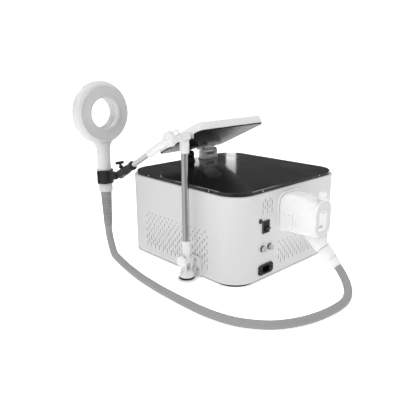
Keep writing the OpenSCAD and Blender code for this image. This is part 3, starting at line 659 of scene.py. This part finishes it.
def makeSwitch():
    low, high, middle = boxOf("switch_frame")
    face = boxOf("casing")[1][1]
    flange = frameSlab((high[0] - low[0], high[2] - low[2]), (15.2, 22.2), 2, 0.8,
                       softLevels(face + 0.02, high[1], 0.7), 4)
    well = frameSlab((19.4, 24.4), (15.2, 22.2), 0.8, 0.8, softLevels(168, face + 0.5, 0.2), 4)
    spot = (middle[0], 0, middle[2])
    makePiece("switch_bezel", [placed(flange, spot, alongY), placed(well, spot, alongY),
                               softBlock((low[0] + 2.4, 166, low[2] + 2.4), (high[0] - 2.4, 168.3, high[2] - 2.4),
                                         0.3)], darkGrey, "switch_frame")
    # rocker seen from its end: a ribbed upper face falls to a groove, then the lower half stands out as a paddle
    ribs = np.array([(6.0 + 0.5 * (k % 2), 9.6 - 1.05 * k) for k in range(7)])
    paddle = np.array([(5.2, 2.6), (4.2, 1.6), (4.6, 0.8), (10.5, -0.6), (13.4, -2.0), (14.0, -3.0), (13.2, -3.9),
                       (4.6, -9.2), (-3.0, -9.0), (-5.5, -6.0), (-5.5, 6.0), (-2.0, 9.4)])
    outline = np.vstack([ribs, paddle]) + anchorOf["power_rocker"][1:]
    centre = outline.mean(0)
    half = 7.1
    rings = [np.c_[centre + (outline - centre) * k, np.full(len(outline), x)]
             for k, x in [(0.94, -half), (1, -half + 0.6), (1, half - 0.6), (0.94, half)]]
    makePiece("switch_rocker_cap", [placed(loft(rings), (middle[0], 0, 0), alongX)], partBlack, "switch_rocker")


def makeButton():
    low, high, middle = boxOf("reset_button")
    face = boxOf("casing")[1][1]
    makePiece("button_bezel", [placed(softPipe(5.4, 3.15, face + 0.02, face + 2, 0.5), (middle[0], 0, middle[2]),
                                      alongY),
                               placed(softPipe(4.1, 3.15, 186, face + 0.5, 0.2), (middle[0], 0, middle[2]),
                                      alongY)], partBlack, "button_bush")
    dome = [(0.3, 188), (3, 188), (3, high[1] - 1.1), (2.7, high[1] - 0.4), (2, high[1] - 0.05), (0.2, high[1])]
    makePiece("button_cap", [placed(turned(dome), (middle[0], 0, middle[2]), alongY)], darkGrey, "reset_button")


makeInlet()
makeFuses()
makeSwitch()
makeButton()
print("rear panel ready")


# ---------- hose connector ----------
plug = dict(plateRadius=22.0, topRadius=24.0, lowRadius=12.0, gripStart=231.0, gripStep=8.0, gripCount=4,
            knobFoot=188.6)


def makeSocketPlate():
    low, high, middle = boxOf("socket_plate")
    size = high - low
    base = slab(size[0], size[2], plug["plateRadius"], softLevels(low[1], high[1] - 1.0, 0.9), 12)
    lip = frameSlab((size[0] - 1.6, size[2] - 1.6), (size[0] - 6.5, size[2] - 6.5), plug["plateRadius"] - 0.8,
                    plug["plateRadius"] - 3.3, softLevels(low[1] + 1, high[1], 0.6), 12)
    spot = (middle[0], 0, middle[2])
    makePiece("connector_plate", [placed(base, spot, alongY), placed(lip, spot, alongY)], partWhite,
              "socket_plate")


def makePlug():
    low, high, middle = boxOf("plug_shell")
    start, end = low[1], high[1]
    length = end - start
    # sections along the plug: distance, half width, lowest, highest; the top corners are rounder than the lower
    sections = np.array([(0.00, 38.6, 105.2, 188.6), (0.06, 38.9, 105.0, 189.0), (0.075, 37.2, 106.6, 188.2),
                         (0.20, 37.1, 106.8, 189.4), (0.38, 37.0, 107.0, 189.6), (0.55, 36.0, 107.2, 187.0),
                         (0.72, 33.4, 107.6, 182.4), (0.86, 30.8, 107.4, 182.8), (1.00, 29.4, 107.2, 185.2)])
    smooth = smoothPath(sections, 6)
    rings = []
    for t, half, bottom, top in smooth:
        outline = roundedOutline(2 * half, top - bottom, plug["topRadius"], 12)
        lower = roundedOutline(2 * half, top - bottom, plug["lowRadius"], 12)
        outline = np.where(outline[:, 1:] < 0, lower, outline) + [0, (top + bottom) / 2]
        rings.append(np.c_[outline, np.full(len(outline), start + t * length)])
    body = placed(loft(rings), (middle[0], 0, 0), alongY)
    grips = []
    for k in range(plug["gripCount"]):
        y = plug["gripStart"] + k * plug["gripStep"]
        grips.append(softBlock((middle[0] + 35.0 - k * 0.3, y, 125 - k), (middle[0] + 42, y + 2.0, 155 - 2 * k), 0.5))
    dot = placed(softRod(1.5, 34, 40, 0.2, 24), (middle[0], 219, 146), alongX)
    makePiece("plug_body", [carved([body], grips + [dot])], partWhite, "plug_shell", angle=40)


def makeEndCap():
    low, high, middle = boxOf("plug_end_cap")
    size = high - low
    cap = placed(slab(size[0], size[2], 22, softLevels(low[1], high[1], 1.6, 4), 12),
                 (middle[0], 0, middle[2]), alongY)
    lever = boxOf("latch_lever")
    well = placed(slab(27, 44, 4, [(0, high[1] - 5), (0, high[1] + 3)], 6), (lever[0][0] + 11, 0, 140.5), alongY)
    makePiece("end_face", [carved([cap], [well])], capGrey, "plug_end_cap")
    foot = anchorOf["latch_pull"][2]
    bar = softBlock((lever[0][0] + 1, lever[0][1] + 3.6, foot - 1), (lever[1][0] - 1, lever[1][1] - 1, 155), 1.3)
    grip = placed(softRod(3.4, lever[0][0], lever[1][0], 1.0), (0, lever[1][1] - 3.4, 155), alongX)
    eye = placed(softRod(4, lever[0][0] + 1, lever[1][0] - 1, 0.8), (0, anchorOf["latch_pull"][1], foot), alongX)
    makePiece("pull_bar_body", [bar, grip, eye], partWhite, "latch_lever")
    knob = boxOf("release_button")
    x, y = knob[2][:2]
    top = knob[1][2]
    foot = plug["knobFoot"]    # clear of the body when pressed, and hidden in the collar
    profile = [(0.4, foot), (7.9, foot), (8.0, top - 1.4), (7.8, top - 0.7), (7.1, top - 0.1), (0.3, top)]
    makePiece("release_knob", [placed(turned(profile), (x, y, 0))], partWhite, "release_button")
    collar = [(9.8, 184.4), (9.6, 189.8), (9.0, 190.6), (8.6, 190.6), (8.2, 190.0), (8.2, 184.4)]
    makePiece("knob_collar", [placed(turned(collar, 48, True), (x, y, 0))], partWhite, "plug_shell")


def makeElbow():
    # tapered neck leaving the plug downwards, then the gland nut with its two lines
    tip = np.array(hoseRoute[-1]) * 1000
    along = np.array([0, cos(hose["elbowDip"]), -sin(hose["elbowDip"])])
    axes = [(1, 0, 0), np.cross(along, (1, 0, 0)), along]
    # sections: distance from the tip, half width, half height
    neck = smoothPath([(-100, 16, 15.5), (-84, 17.2, 17.2), (-66, 17.2, 17.4), (-56, 16.4, 16.6),
                       (-48.2, 15.6, 15.6)], 6)
    turn = np.linspace(0, 2 * pi, 48, endpoint=False)
    rings = [np.stack([w * np.cos(turn), h * np.sin(turn), np.full(48, s)], 1) for s, w, h in neck]
    makePiece("elbow_neck", [placed(loft(rings), tip, axes)], partWhite, "cable_elbow")
    nut = [(8, -47.2), (14.4, -47.2), (14.8, -46.4), (15.5, -46.0), (15.6, -45.2), (13.5, -21.2), (13.1, -20.4),
           (11.2, -20.3), (10.9, -20.1), (10.9, -18.3), (12.4, -18.0), (12.9, -17.2), (10.1, -1.0), (9.4, 0),
           (8.6, 0)]
    makePiece("gland_cap", [placed(turned(nut), tip, axes)], partWhite, "gland_nut")


makeSocketPlate()
makePlug()
makeEndCap()
makeElbow()
print("hose connector ready")


# ---------- support post and arm ----------
post = dict(plateEdge=1.0, lobes=8)


def tombstone(width, low, centre):  # upright plate outline: straight feet under a half circle
    angles = np.linspace(0, pi, 25)
    arc = polar(width / 2, angles) + [0, centre]
    return np.vstack([arc, [(-width / 2, low), (width / 2, low)]])


def plateX(outline, low, high, middleY, edge=0.5):  # outline in Y and Z given thickness along X, with soft rims
    centre = outline.mean(0)
    reach = np.abs(outline - centre).max()
    rings = [flatRing(centre + (outline - centre) * (1 - inset / reach), x)
             for inset, x in softLevels(low, high, edge, 2)]
    return placed(loft(rings), (0, middleY, 0), alongX)


def makeBracket():
    low, high, middle = boxOf("arm_bracket")
    x, y = anchorOf["post_swivel"][:2]
    a = np.linspace(-pi / 2, pi / 2, 33)
    tongue = np.vstack([polar(21, a), [(-8, 21), (-14, 15)],
                        [(low[0] - x, 15), (low[0] - x, -15)], [(-14, -15), (-8, -21)]])
    plate = placed(prism(tongue, softLevels(low[2], 5, post["plateEdge"])), (x, y, 0))
    upright = softBlock((low[0], y - 15, 0.2), (low[0] + 3.3, y + 15, high[2]), 0.9)
    web = np.array([(0, 4), (13, 4), (10, 8), (3, 28), (0, 30)])
    rings = [np.c_[web + [low[0] + 2.6, 0], np.full(5, y + d)][:, [0, 2, 1]] for d in (-2, 2)]
    makePiece("bracket_body", [plate, upright, loft(rings)], armWhite, "arm_bracket")
    screws = boxOf("bracket_screws")
    spots = [(y - 9, 20), (y + 9, 20), (y, 40)]
    heads = [placed(screwHead(3.6, low[0] + 3.2, screws[1][0], 1.7), (0, *spot), alongX) for spot in spots]
    makePiece("bracket_screw_heads", heads, screwSteel, "bracket_screws")
    washer = boxOf("post_washer")
    makePiece("foot_washer", [placed(softPipe(17, 4.1, washer[0][2], washer[1][2], 1.2), (x, y, 0))], rubberBlack,
              "post_washer")


def makeFoot():
    x, y = anchorOf["post_swivel"][:2]
    tilt = anchorOf["post_tilt"]
    dome = [(4.2, 9), (15.6, 9), (16.4, 9.8), (16.5, 12), (16.2, 15), (15.2, 18), (13.2, 21.2), (10.8, 23.6),
            (8.5, 25), (4.2, 25)]
    ears = [plateX(tombstone(16, 20, tilt[2]), x + s * 8.2 - 2, x + s * 8.2 + 2, y, 0.7) for s in (-1, 1)]
    makePiece("foot_body", [placed(turned(dome, 64, True), (x, y, 0))] + ears, armWhite, "post_foot")
    # lobed hand knob: radius follows a cosine round the rim
    a = np.linspace(0, 2 * pi, 96, endpoint=False)
    outline = polar(12.2 + 0.8 * np.cos(post["lobes"] * a), a)
    knob = placed(prism(outline, softLevels(x + 11, x + 19, 1.6)), (0, y, tilt[2]), alongX)
    pin = placed(softRod(2.95, x - 13, x + 12, 0.3), (0, y, tilt[2]), alongX)
    nut = placed(hexHead(5.0, x - 15.5, x - 11), (0, y, tilt[2]), alongX)
    makePiece("tilt_hand_knob", [knob, pin, nut], partWhite, "tilt_knob")


def makePost():
    x, y = anchorOf["post_swivel"][:2]
    tilt, elbow = anchorOf["post_tilt"], anchorOf["arm_tilt"]
    barrel = placed(softPipe(8, 3.05, x - 5.8, x + 5.8, 0.6), (0, y, tilt[2]), alongX)
    neck = softBlock((x - 5.7, y - 6.6, tilt[2] + 4), (x + 5.7, y + 6.6, 62.5), 1.2)
    sleeve = [(0.4, 61), (9.4, 61), (10, 61.6), (10, 63.4), (9.3, 63.8), (9.3, 64.6), (10, 65), (10, 91.8),
              (9.6, 92.7), (8.9, 93), (7.8, 93), (7.75, 80), (0.4, 80)]
    makePiece("lower_sleeve", [barrel, neck, placed(turned(sleeve, 64), (x, y, 0))], armWhite, "tilt_yoke")
    tube = boxOf("post_tube")
    radius = (tube[1][0] - tube[0][0]) / 2
    makePiece("post_tube_body", [placed(softPipe(radius, radius - 1.2, tube[0][2] + 12.2, tube[1][2], 0.3, 64),
                                        (x, y, 0))], tubeSteel, "post_tube")
    cap = [(7.8, 286), (9.2, 286), (9.9, 286.6), (10, 287.4), (10, 309), (9, 311.5), (7, 312.5), (0.4, 312.6),
           (0.4, 300.1), (7.75, 300.1)]
    head = placed(softPipe(9, 4.05, x - 10, x + 12, 0.9), (0, y, elbow[2]), alongX)
    makePiece("upper_sleeve", [placed(turned(cap, 64, True), (x, y, 0)), head], armWhite, "top_sleeve")
    bolt = boxOf("elbow_bolt")
    parts = [placed(softRod(3.98, bolt[0][0] + 2, bolt[1][0], 0.4), (0, y, elbow[2]), alongX),
             placed(hexHead(6.6, x - 21, x - 15.5), (0, y, elbow[2]), alongX),
             placed(softPipe(7.5, 4.0, x - 15, x - 10.3, 0.5), (0, y, elbow[2]), alongX)]
    makePiece("elbow_bolt_body", parts, screwSteel, "elbow_bolt")


def makeWingNut():
    # barrel on the bolt with an open loop standing on it
    x, y, z = anchorOf["wing_nut_turn"]
    low, high, middle = boxOf("elbow_wing_nut")
    profile = [(4.1, low[0]), (6.8, low[0]), (7.6, low[0] + 0.8), (7.6, low[0] + 4), (6.6, low[0] + 4.8),
               (6.6, high[0] - 4.8), (7.6, high[0] - 4), (7.6, high[0] - 0.8), (6.8, high[0]), (4.1, high[0])]
    barrel = placed(turned(profile, 48, True), (0, y, z), alongX)
    centre = anchorOf["post_swivel"][0] + 22
    a = np.linspace(radians(-22), radians(202), 48)
    reach = 7.7
    path = np.stack([centre + reach * np.cos(a), np.full(48, y), z + 8 + reach * np.sin(a)], 1)
    loop = loft(sweptTube(path, 1.65, 16))
    makePiece("wing_nut_body", [barrel, loop], armWhite, "elbow_wing_nut")


def makeArm():
    x = anchorOf["clip_tilt"][0]
    y, z = anchorOf["arm_tilt"][1:]
    clip = anchorOf["clip_tilt"]
    rod, hub = boxOf("arm_rod"), boxOf("arm_hub")
    start = np.array([x, y + 5, z + 2])
    along = (clip - start) / np.linalg.norm(clip - start)
    axes = [(1, 0, 0), np.cross(along, (1, 0, 0)), along]
    facet = softOutline([(45 * k + 22.5, 15.6) for k in range(8)], 14, 96)
    disc = placed(prism(facet, softLevels(x - 6, x + 5, 1.4)), (0, y, z), alongX)
    rim = placed(turned([(0.4, x + 4.6), (9.6, x + 4.6), (10, x + 5.0), (9.4, x + 5.9), (0.4, x + 6.2)]),
                 (0, y, z), alongX)
    sleeve = [(6.05, 8), (7.9, 8), (8, 9), (8, 82.6), (7.6, 83.6), (7.0, 84), (6.05, 84)]
    makePiece("arm_hub_body", [disc, rim, placed(turned(sleeve, 48, True), start, axes)], armWhite, "arm_hub")
    makePiece("arm_rod_body", [placed(softRod(5.98, 26, 171, 0.3), start, axes)], rodSteel, "arm_rod")
    # clamp: flared mouth on the rod, body, and two ears for the clip's pin
    mouth = [(6.05, 153), (9.4, 153), (10.4, 153.8), (10.5, 156), (9.2, 161), (8.7, 166), (9.4, 176), (10.2, 184),
             (9.6, 189), (3, 189.5), (3, 171.1), (6.05, 171)]
    block = placed(slab(20, 16, 3, softLevels(182, 213.4, 1.4)), start, axes)
    ears = [placed(slab(5, 15.4, 1.2, softLevels(208, 222, 0.8)), start + [s * 7.5, 0, 0], axes) for s in (-1, 1)]
    ears += [placed(softRod(8.1, x + s * 7.5 - 2.5, x + s * 7.5 + 2.5, 0.7), (0, clip[1], clip[2]), alongX)
             for s in (-1, 1)]
    makePiece("clamp_housing", [placed(turned(mouth, 48, True), start, axes), block] + ears, partBlack,
              "clamp_body")
    return start, along, axes


def makeThumbScrew(start, along, axes):
    upward = -np.cross(along, (1, 0, 0))
    upward = upward if upward[2] > 0 else -upward
    spot = start + 200 * along
    turn = [(1, 0, 0), -along, upward]
    stem = [(0.4, 2.1), (2.9, 2.1), (2.9, 10.5), (4.4, 11.4), (5, 12.4), (5, 15.2), (4.2, 16.2), (3.1, 17), (3.0, 21),
            (4.2, 23), (0.4, 24)]
    bar = placed(slab(22, 6, 2.9, softLevels(20.8, 27, 1.6), 6), spot, turn)
    makePiece("thumb_screw_body", [placed(turned(stem), spot, turn), bar], partBlack, "clamp_screw")


band = dict(inner=15.9, outer=20.0, gap=radians(50), turn=radians(56), lipLength=7.0, lipThick=3.4, low=188.5)


def makeClip():
    # open band: a rounded strip carried round the neck from one lip to the other
    low, high, middle = boxOf("clip_band")
    x, y = anchorOf["applicator_turn"][:2]
    bottom, top = band["low"], high[2]
    a = np.linspace(-pi / 2 + band["gap"], 3 * pi / 2 - band["gap"], 72) + band["turn"]
    strip = roundedOutline(band["outer"] - band["inner"], top - bottom, 1.2, 4)
    radius = (band["outer"] + band["inner"]) / 2 + strip[:, 0]
    rings = np.stack([x + radius * np.cos(a)[:, None], y + radius * np.sin(a)[:, None],
                      np.broadcast_to((bottom + top) / 2 + strip[:, 1], (72, len(strip)))], -1)
    solids = [loft(rings)]
    for s in (-1, 1):
        lip = placed(slab(band["lipThick"], band["lipLength"], 1.4, softLevels(bottom + 0.6, top - 0.6, 1.0), 6),
                     (0, -band["lipLength"] / 2, 0))
        lean, whole = radians(s * 20) + band["turn"], band["turn"]
        axes = np.array([[cos(lean), sin(lean), 0], [-sin(lean), cos(lean), 0], [0, 0, 1]])
        spot = (x + s * 14 * cos(whole) + 11.4 * sin(whole), y + s * 14 * sin(whole) - 11.4 * cos(whole), 0)
        solids.append(placed(lip, spot, axes))
    clip = anchorOf["clip_tilt"]
    out, z = clip[1] - y, clip[2]
    lug = np.array([(out + 5.5, z - 4), (out + 6.4, z), (out + 4.8, z + 4.4), (out, z + 6.4), (18, top - 1),
                    (18, bottom + 6), (out, z - 6.4)])
    solids.append(plateX(lug, x - 4.4, x + 4.4, y, 0.8))
    solids.append(placed(softRod(2.95, x - 10.5, x + 10.5, 0.3), (0, clip[1], clip[2]), alongX))
    makePiece("clip_body", solids, partBlack, "clip_band")


makeBracket()
makeFoot()
makePost()
makeWingNut()
makeThumbScrew(*makeArm())
makeClip()
print("support arm ready")


# ---------- ring applicator ----------
ring = dict(faceOuter=62.3, faceInner=35.6, seam=0.12, neckSides=33)


def makeRing():
    x, y = anchorOf["applicator_turn"][:2]
    low, high, middle = boxOf("ring_shell_front")
    rearLow = boxOf("ring_shell_rear")[0]
    outer = (high[0] - low[0]) / 2
    centre = high[2] - outer
    thick = y - rearLow[1]
    hole = outer - 36.5
    # half of the shell: radius and distance from the seam, outside first, then back through the hole
    rim = [(outer - 0.5, ring["seam"]), (outer, 0.7), (outer - 0.4, 4.2), (outer - 1.7, 7.6), (outer - 4.0, 10.6),
           (outer - 7.0, 12.6), (outer - 9.2, 13.4)]
    frontFace = [(outer - 9.0, thick - 2.3), (hole + 2.9, thick - 2.3), (hole + 2.9, thick - 2.5)]
    rearFace = [(outer - 12, thick), (hole + 4, thick), (hole + 1.6, thick - 0.4), (hole + 0.5, thick - 1.6)]
    mouth = [(hole + 0.5, thick - 2.6), (hole, thick - 3.4), (hole, 0.7), (hole + 0.4, ring["seam"])]
    for name, s, face in (("ring_shell_front", 1, frontFace), ("ring_shell_rear", -1, rearFace)):
        profile = np.array(rim + face + mouth)
        shell = placed(turned(profile * [1, s], 128, True), (x, y, centre), alongY)
        # half neck: half ellipses that flare where they run into the ring
        flare = smoothPath([(172, 15.5, 15.5), (200, 15.5, 15.5), (240, 15.4, 15.2), (262, 15.8, 14.8),
                            (273, 17.2, 14.2), (281, 20.0, 13.6), (287, 25.0, 12.6), (291, 31.0, 10.6)], 5)
        a = np.linspace(0, pi, ring["neckSides"])
        rings = [np.stack([x + w * np.cos(a), y + s * (ring["seam"] + (d - ring["seam"]) * np.sin(a)),
                           np.full(len(a), z)], 1) for z, w, d in flare]
        # the ring halves take the white plastic darkened as painted shade
        makePiece(name.replace("shell", "half"), [shell, loft(rings)], ringWhite, name, angle=38)
    # grey pad on the face, dished a little between its two raised rims
    out = thick - 2.2
    pad = [(ring["faceOuter"], out), (ring["faceOuter"], out + 1.4), (61.3, out + 2.3), (60.2, out + 2.5),
           (59.2, out + 2.2), (58.4, out + 1.5), (50, out + 1.35), (42.6, out + 1.6), (41.2, out + 2.3),
           (39.4, out + 2.6), (37.4, out + 2.3), (35.9, out + 1.2), (ring["faceInner"], out + 0.2),
           (ring["faceInner"], out)]
    makePiece("face_pad", [placed(turned(pad, 128, True), (x, y, centre), alongY)], ringGrey, "ring_face")


def makeGrip():
    x, y = anchorOf["applicator_turn"][:2]
    low, high, middle = boxOf("neck_collar")
    collar = [(9.1, low[2]), (15.6, low[2]), (16.2, low[2] + 0.7), (16.2, high[2] - 1.6), (15.9, high[2] - 0.6),
              (15.55, high[2]), (15.5, low[2] + 2.1), (9.1, low[2] + 2.1)]
    # the collar takes the white plastic darkened as painted shade
    makePiece("collar_body", [placed(turned(collar, 64, True), (x, y, 0))], collarGrey, "neck_collar")
    bottom, top = boxOf("strain_relief")[0][2], boxOf("strain_relief")[1][2]
    # ribbed sleeve: the wall narrows downwards, and nine grooves cut it
    height = np.linspace(bottom, top, 181)
    wall = np.interp(height, [bottom, bottom + 14, bottom + 72, top], [9.2, 10.4, 12.6, 13.0])
    phase = ((height - (bottom + 17)) / 6.6) % 1
    inZone = (height > bottom + 17) & (height < bottom + 76)
    groove = 1.15 * np.clip(1 - np.abs(phase - 0.5) / 0.2, 0, 1) ** 0.6 * inZone
    profile = np.vstack([[(8.6, bottom)], np.stack([wall - groove, height], 1), [(8.6, top)]])
    makePiece("relief_sleeve", [placed(turned(profile, 64), (x, y, 0))], reliefGrey, "strain_relief", angle=50)


makeRing()
makeGrip()
print("ring applicator ready")


# ---------- screen ----------
screen = dict(width=236.0, depth=183.0, thick=23.0, low=17.4, slope=25.0, middle=65.5, corner=15.0,
              window=(216.0, 162.0))


def makeScreen():
    # the screen stands on its own axes: x along the hinge, y up the slope, z out of the glass
    pivot = anchorOf["screen_tilt"]
    axes = tilted(screen["slope"])
    origin = pivot + np.array([0, screen["middle"], 0]) @ axes
    low, top = screen["low"], screen["low"] + screen["thick"]
    width, depth = screen["width"], screen["depth"]
    back = slab(width - 2, depth - 2, 14, [(0.8, low), (0.1, low + 0.6), (0, low + 1.2), (0, low + 3)], 12)
    makePiece("screen_back_plate", [placed(back, origin, axes)], backBlack, "screen_back", angle=25)
    shell = frameSlab((width, depth), screen["window"], screen["corner"], 2,
                      softLevels(low + 3.02, top, 1.6, 4), 12)
    makePiece("screen_shell", [placed(shell, origin, axes)], partWhite, "screen_frame")
    pane = slab(screen["window"][0] - 0.4, screen["window"][1] - 0.4, 1.8, softLevels(top - 6, top - 1.2, 0.4), 6)
    makePiece("screen_pane", [placed(pane, origin, axes)], glassDark, "screen_glass")


def makeHinges():
    # two hinges on the lid: a wide one in bare metal and a narrow one in black
    pivot = anchorOf["screen_tilt"]
    low, high, middle = boxOf("hinge_base")
    axes = tilted(screen["slope"])
    lidTop = low[2]
    y, z = pivot[1:]
    for name, material, ends, knuckles in (
            ("wide_hinge", hingeSteel, (-64, -9), ((-64, -52), (-21, -9))),
            ("narrow_hinge", partBlack, (24, 50), ((24, 32), (42, 50)))):
        start, stop = pivot[0] + ends[0], pivot[0] + ends[1]
        solids = [softBlock((start, y - 12, lidTop), (stop, y + 12, lidTop + 5), 0.8)]
        for a, b in knuckles:
            lowX, highX = pivot[0] + a, pivot[0] + b
            solids.append(placed(softPipe(9, 3.03, lowX, highX, 0.7), (0, y, z), alongX))
            solids.append(softBlock((lowX + 0.2, y - 8.6, lidTop + 3), (highX - 0.2, y + 8.6, z - 3), 0.6))
        # the base rises between the knuckles, just clear of the leaf's barrel
        gap = pivot[0] + knuckles[0][1] - 0.5, pivot[0] + knuckles[1][0] + 0.5
        solids.append(softBlock((gap[0], y - 8.4, lidTop + 3), (gap[1], y + 8.4, z - 9.6), 0.4))
        makePiece(name, solids, material, "hinge_base")
    for name, material, ends, plate in (("wide_leaf", hingeSteel, (-51.7, -21.3), (-64, -9)),
                                        ("narrow_leaf", partBlack, (32.3, 41.7), (24, 50))):
        lowX, highX = pivot[0] + ends[0], pivot[0] + ends[1]
        knuckle = placed(softPipe(9, 3.03, lowX, highX, 0.7), (0, y, z), alongX)
        tongue = softBlock((ends[0] + 0.5, -7, 4), (ends[1] - 0.5, 7, screen["low"] - 1), 0.6)
        mount = softBlock((plate[0], -12.5, screen["low"] - 7.4), (plate[1], 35, screen["low"] - 0.02), 0.8)
        makePiece(name, [knuckle, placed(tongue, pivot, axes), placed(mount, pivot, axes)], material, "hinge_leaf")
    pins = boxOf("hinge_pin")
    ends = ((pins[0][0], pivot[0] - 7), (pivot[0] + 22, pins[1][0]))
    makePiece("hinge_pins", [placed(softRod(3, a, b, 0.6), (0, y, z), alongX) for a, b in ends],
              screwSteel, "hinge_pin")


makeScreen()
makeHinges()
print("screen ready")

# CAD nodes that keep their own shape and take a finish
kept = {"inlet_contacts": contactBrass, "fuse_links": fuseGlass, "panel_socket": darkGrey,
        "plug_contacts": contactBrass, "latch_pin": screwSteel, "swivel_bolt": screwSteel, "ring_coil": coilCopper,
        "display_panel": darkGrey, "power_supply": hingeSteel, "pulse_board": boardGreen, "fan_frame": partBlack,
        "fan_rotor": darkGrey}
for node, material in kept.items():
    mesh = frame["nodes"][node].data
    mesh.materials.clear()
    mesh.materials.append(material)
print("inner pieces finished")


# ---------- floor and light ----------
studio = dict(floorReach=9.0, floorGlow=0.62, backdrop=1.05, white=0.75, dark=0.10, above=0.7, top=1.3,
              streakFar=3.0, streakShares=(1.0, 0.62, 0.34, 0.15),
              mats=[(-110, -60, 0.42), (-60, 34, 0.75), (34, 58, 0.30), (58, 104, 0.42), (104, 172, 0.68)])


def makeStage():
    r = studio["floorReach"]
    mesh = bpy.data.meshes.new("floor")
    mesh.from_pydata([(-r, -r, 0), (r, -r, 0), (r, r, 0), (-r, r, 0)], [], [(0, 1, 2, 3)])
    floor = bpy.data.objects.new("floor", mesh)
    bpy.context.scene.collection.objects.link(floor)
    material, shader, place, add, links = startMaterial("floorWhite", "floor")
    links.new(tinted(add, noise(add, place, 400), (0.93, 0.93, 0.93), 0.004), shader.inputs["Base Color"])
    shader.inputs["Roughness"].default_value = 0.9
    shader.inputs["Specular IOR Level"].default_value = 0.0
    shader.inputs["Emission Color"].default_value = (1, 1, 1, 1)
    shader.inputs["Emission Strength"].default_value = studio["floorGlow"]
    mesh.materials.append(material)


def makeSky():
    # pure white to the camera; for light and mirrors a white horizon, a grey belt above it and a bright top
    world = bpy.data.worlds.new("studio")
    bpy.context.scene.world = world
    world.use_nodes = True
    tree = world.node_tree
    add, link = tree.nodes.new, tree.links.new
    ramp, split = add("ShaderNodeValToRGB"), add("ShaderNodeSeparateXYZ")
    link(add("ShaderNodeTexCoord").outputs["Generated"], split.inputs[0])
    link(split.outputs["Z"], ramp.inputs[0])
    link(ramp.outputs["Color"], tree.nodes["Background"].inputs["Color"])
    stops = [(0.0, studio["white"]), (sin(radians(7.4)), studio["white"]), (sin(radians(9.4)), studio["dark"]),
             (sin(radians(30)), studio["dark"]), (sin(radians(42)), studio["above"]), (1.0, studio["top"])]
    elements = ramp.color_ramp.elements
    for element, (position, value) in ((elements[0], stops[0]), (elements[-1], stops[-1])):
        element.position, element.color = position, (value, value, value, 1)
    for position, value in stops[1:-1]:
        elements.new(position).color = (value, value, value, 1)
    plain = add("ShaderNodeBackground")
    plain.inputs["Color"].default_value = (1, 1, 1, 1)
    plain.inputs["Strength"].default_value = studio["backdrop"]
    mix = add("ShaderNodeMixShader")
    link(add("ShaderNodeLightPath").outputs["Is Camera Ray"], mix.inputs[0])
    link(tree.nodes["Background"].outputs[0], mix.inputs[1])
    link(plain.outputs[0], mix.inputs[2])
    link(mix.outputs[0], tree.nodes["World Output"].inputs["Surface"])


def makeMats():
    # grey wedges on the floor round the post, seen only in polished metal, which give the tube its stripes
    x, y = anchorOf["post_swivel"][:2] / 1000
    for number, (first, last, tone) in enumerate(studio["mats"]):
        a = np.radians(np.linspace(first, last, 13))
        near, far = (np.stack([x + r * np.cos(a), y + r * np.sin(a), np.full(13, 0.002)], 1) for r in (0.03, 3.0))
        mesh = bpy.data.meshes.new("mat")
        mesh.from_pydata(np.vstack([near, far]).tolist(), [],
                         [(k, k + 13, k + 14, k + 1) for k in range(12)])
        mat = bpy.data.objects.new("mat%d" % number, mesh)
        bpy.context.scene.collection.objects.link(mat)
        material, shader, place, add, links = startMaterial("matGrey%d" % number, "floor")
        shader.inputs["Base Color"].default_value = (0, 0, 0, 1)
        shader.inputs["Specular IOR Level"].default_value = 0.0
        links.new(tinted(add, noise(add, place, 300), (tone, tone, tone), 0.04), shader.inputs["Emission Color"])
        shader.inputs["Emission Strength"].default_value = 1.0
        mesh.materials.append(material)
        mat.visible_camera = mat.visible_diffuse = mat.visible_shadow = mat.visible_transmission = False


def areaLight(name, place, target, size, power):  # rectangular panel turned to its target
    data = bpy.data.lights.new(name, "AREA")
    data.shape, data.size, data.size_y, data.energy = "RECTANGLE", size[0], size[1], power
    light = bpy.data.objects.new(name, data)
    light.location = place
    light.rotation_euler = (Vector(target) - Vector(place)).to_track_quat("-Z", "Y").to_euler()
    bpy.context.scene.collection.objects.link(light)


def streakLight(name, heading, low, high, width, power):
    # upright strip seen in the lid beyond its far side, in bands that dim with height
    start = Vector(view["place"])
    far, h = studio["streakFar"], radians(heading)
    mirrored = 2 * float(boxOf("top_lid")[1][2]) / 1000 - start.z
    edges = [mirrored + far * tan(radians(a)) for a in np.linspace(low, high, 5)]
    for number, share in enumerate(studio["streakShares"]):
        bottom, top = edges[number:number + 2]
        place = (start.x + far * cos(h), start.y + far * sin(h), (bottom + top) / 2)
        areaLight(name + str(number), place, (start.x, start.y, mirrored), (far * tan(radians(width)), top - bottom),
                  power * share)


makeStage()
makeSky()
makeMats()
# name, place and target in metres, size in metres, watts
lights = [("keyPanel", (1.9, 0.5, 2.1), (0, 0, 0.1), (2.2, 2.2), 19),
          ("rearPanelFill", (0.2, 2.6, 1.5), (0, 0, 0.1), (2.0, 1.6), 1),
          ("rearEdgeLight", (-2.0, 0.95, 2.25), (0, 0, 0.2), (0.6, 0.6), 6),
          ("sideEdgeLight", (0.9, -2.05, 2.15), (0, 0, 0.2), (0.6, 0.6), 6)]
for values in lights:
    areaLight(*values)
# name, heading, lowest and highest angle and width in degrees, watts
for values in (("wideStreak", 223.36, 9.6, 14.4, 1.15, 0.03), ("narrowStreak", 227.23, 10.0, 13.6, 1.05, 0.018)):
    streakLight(*values)
bpy.context.scene.view_settings.view_transform = "Standard"
print("stage and lights ready")
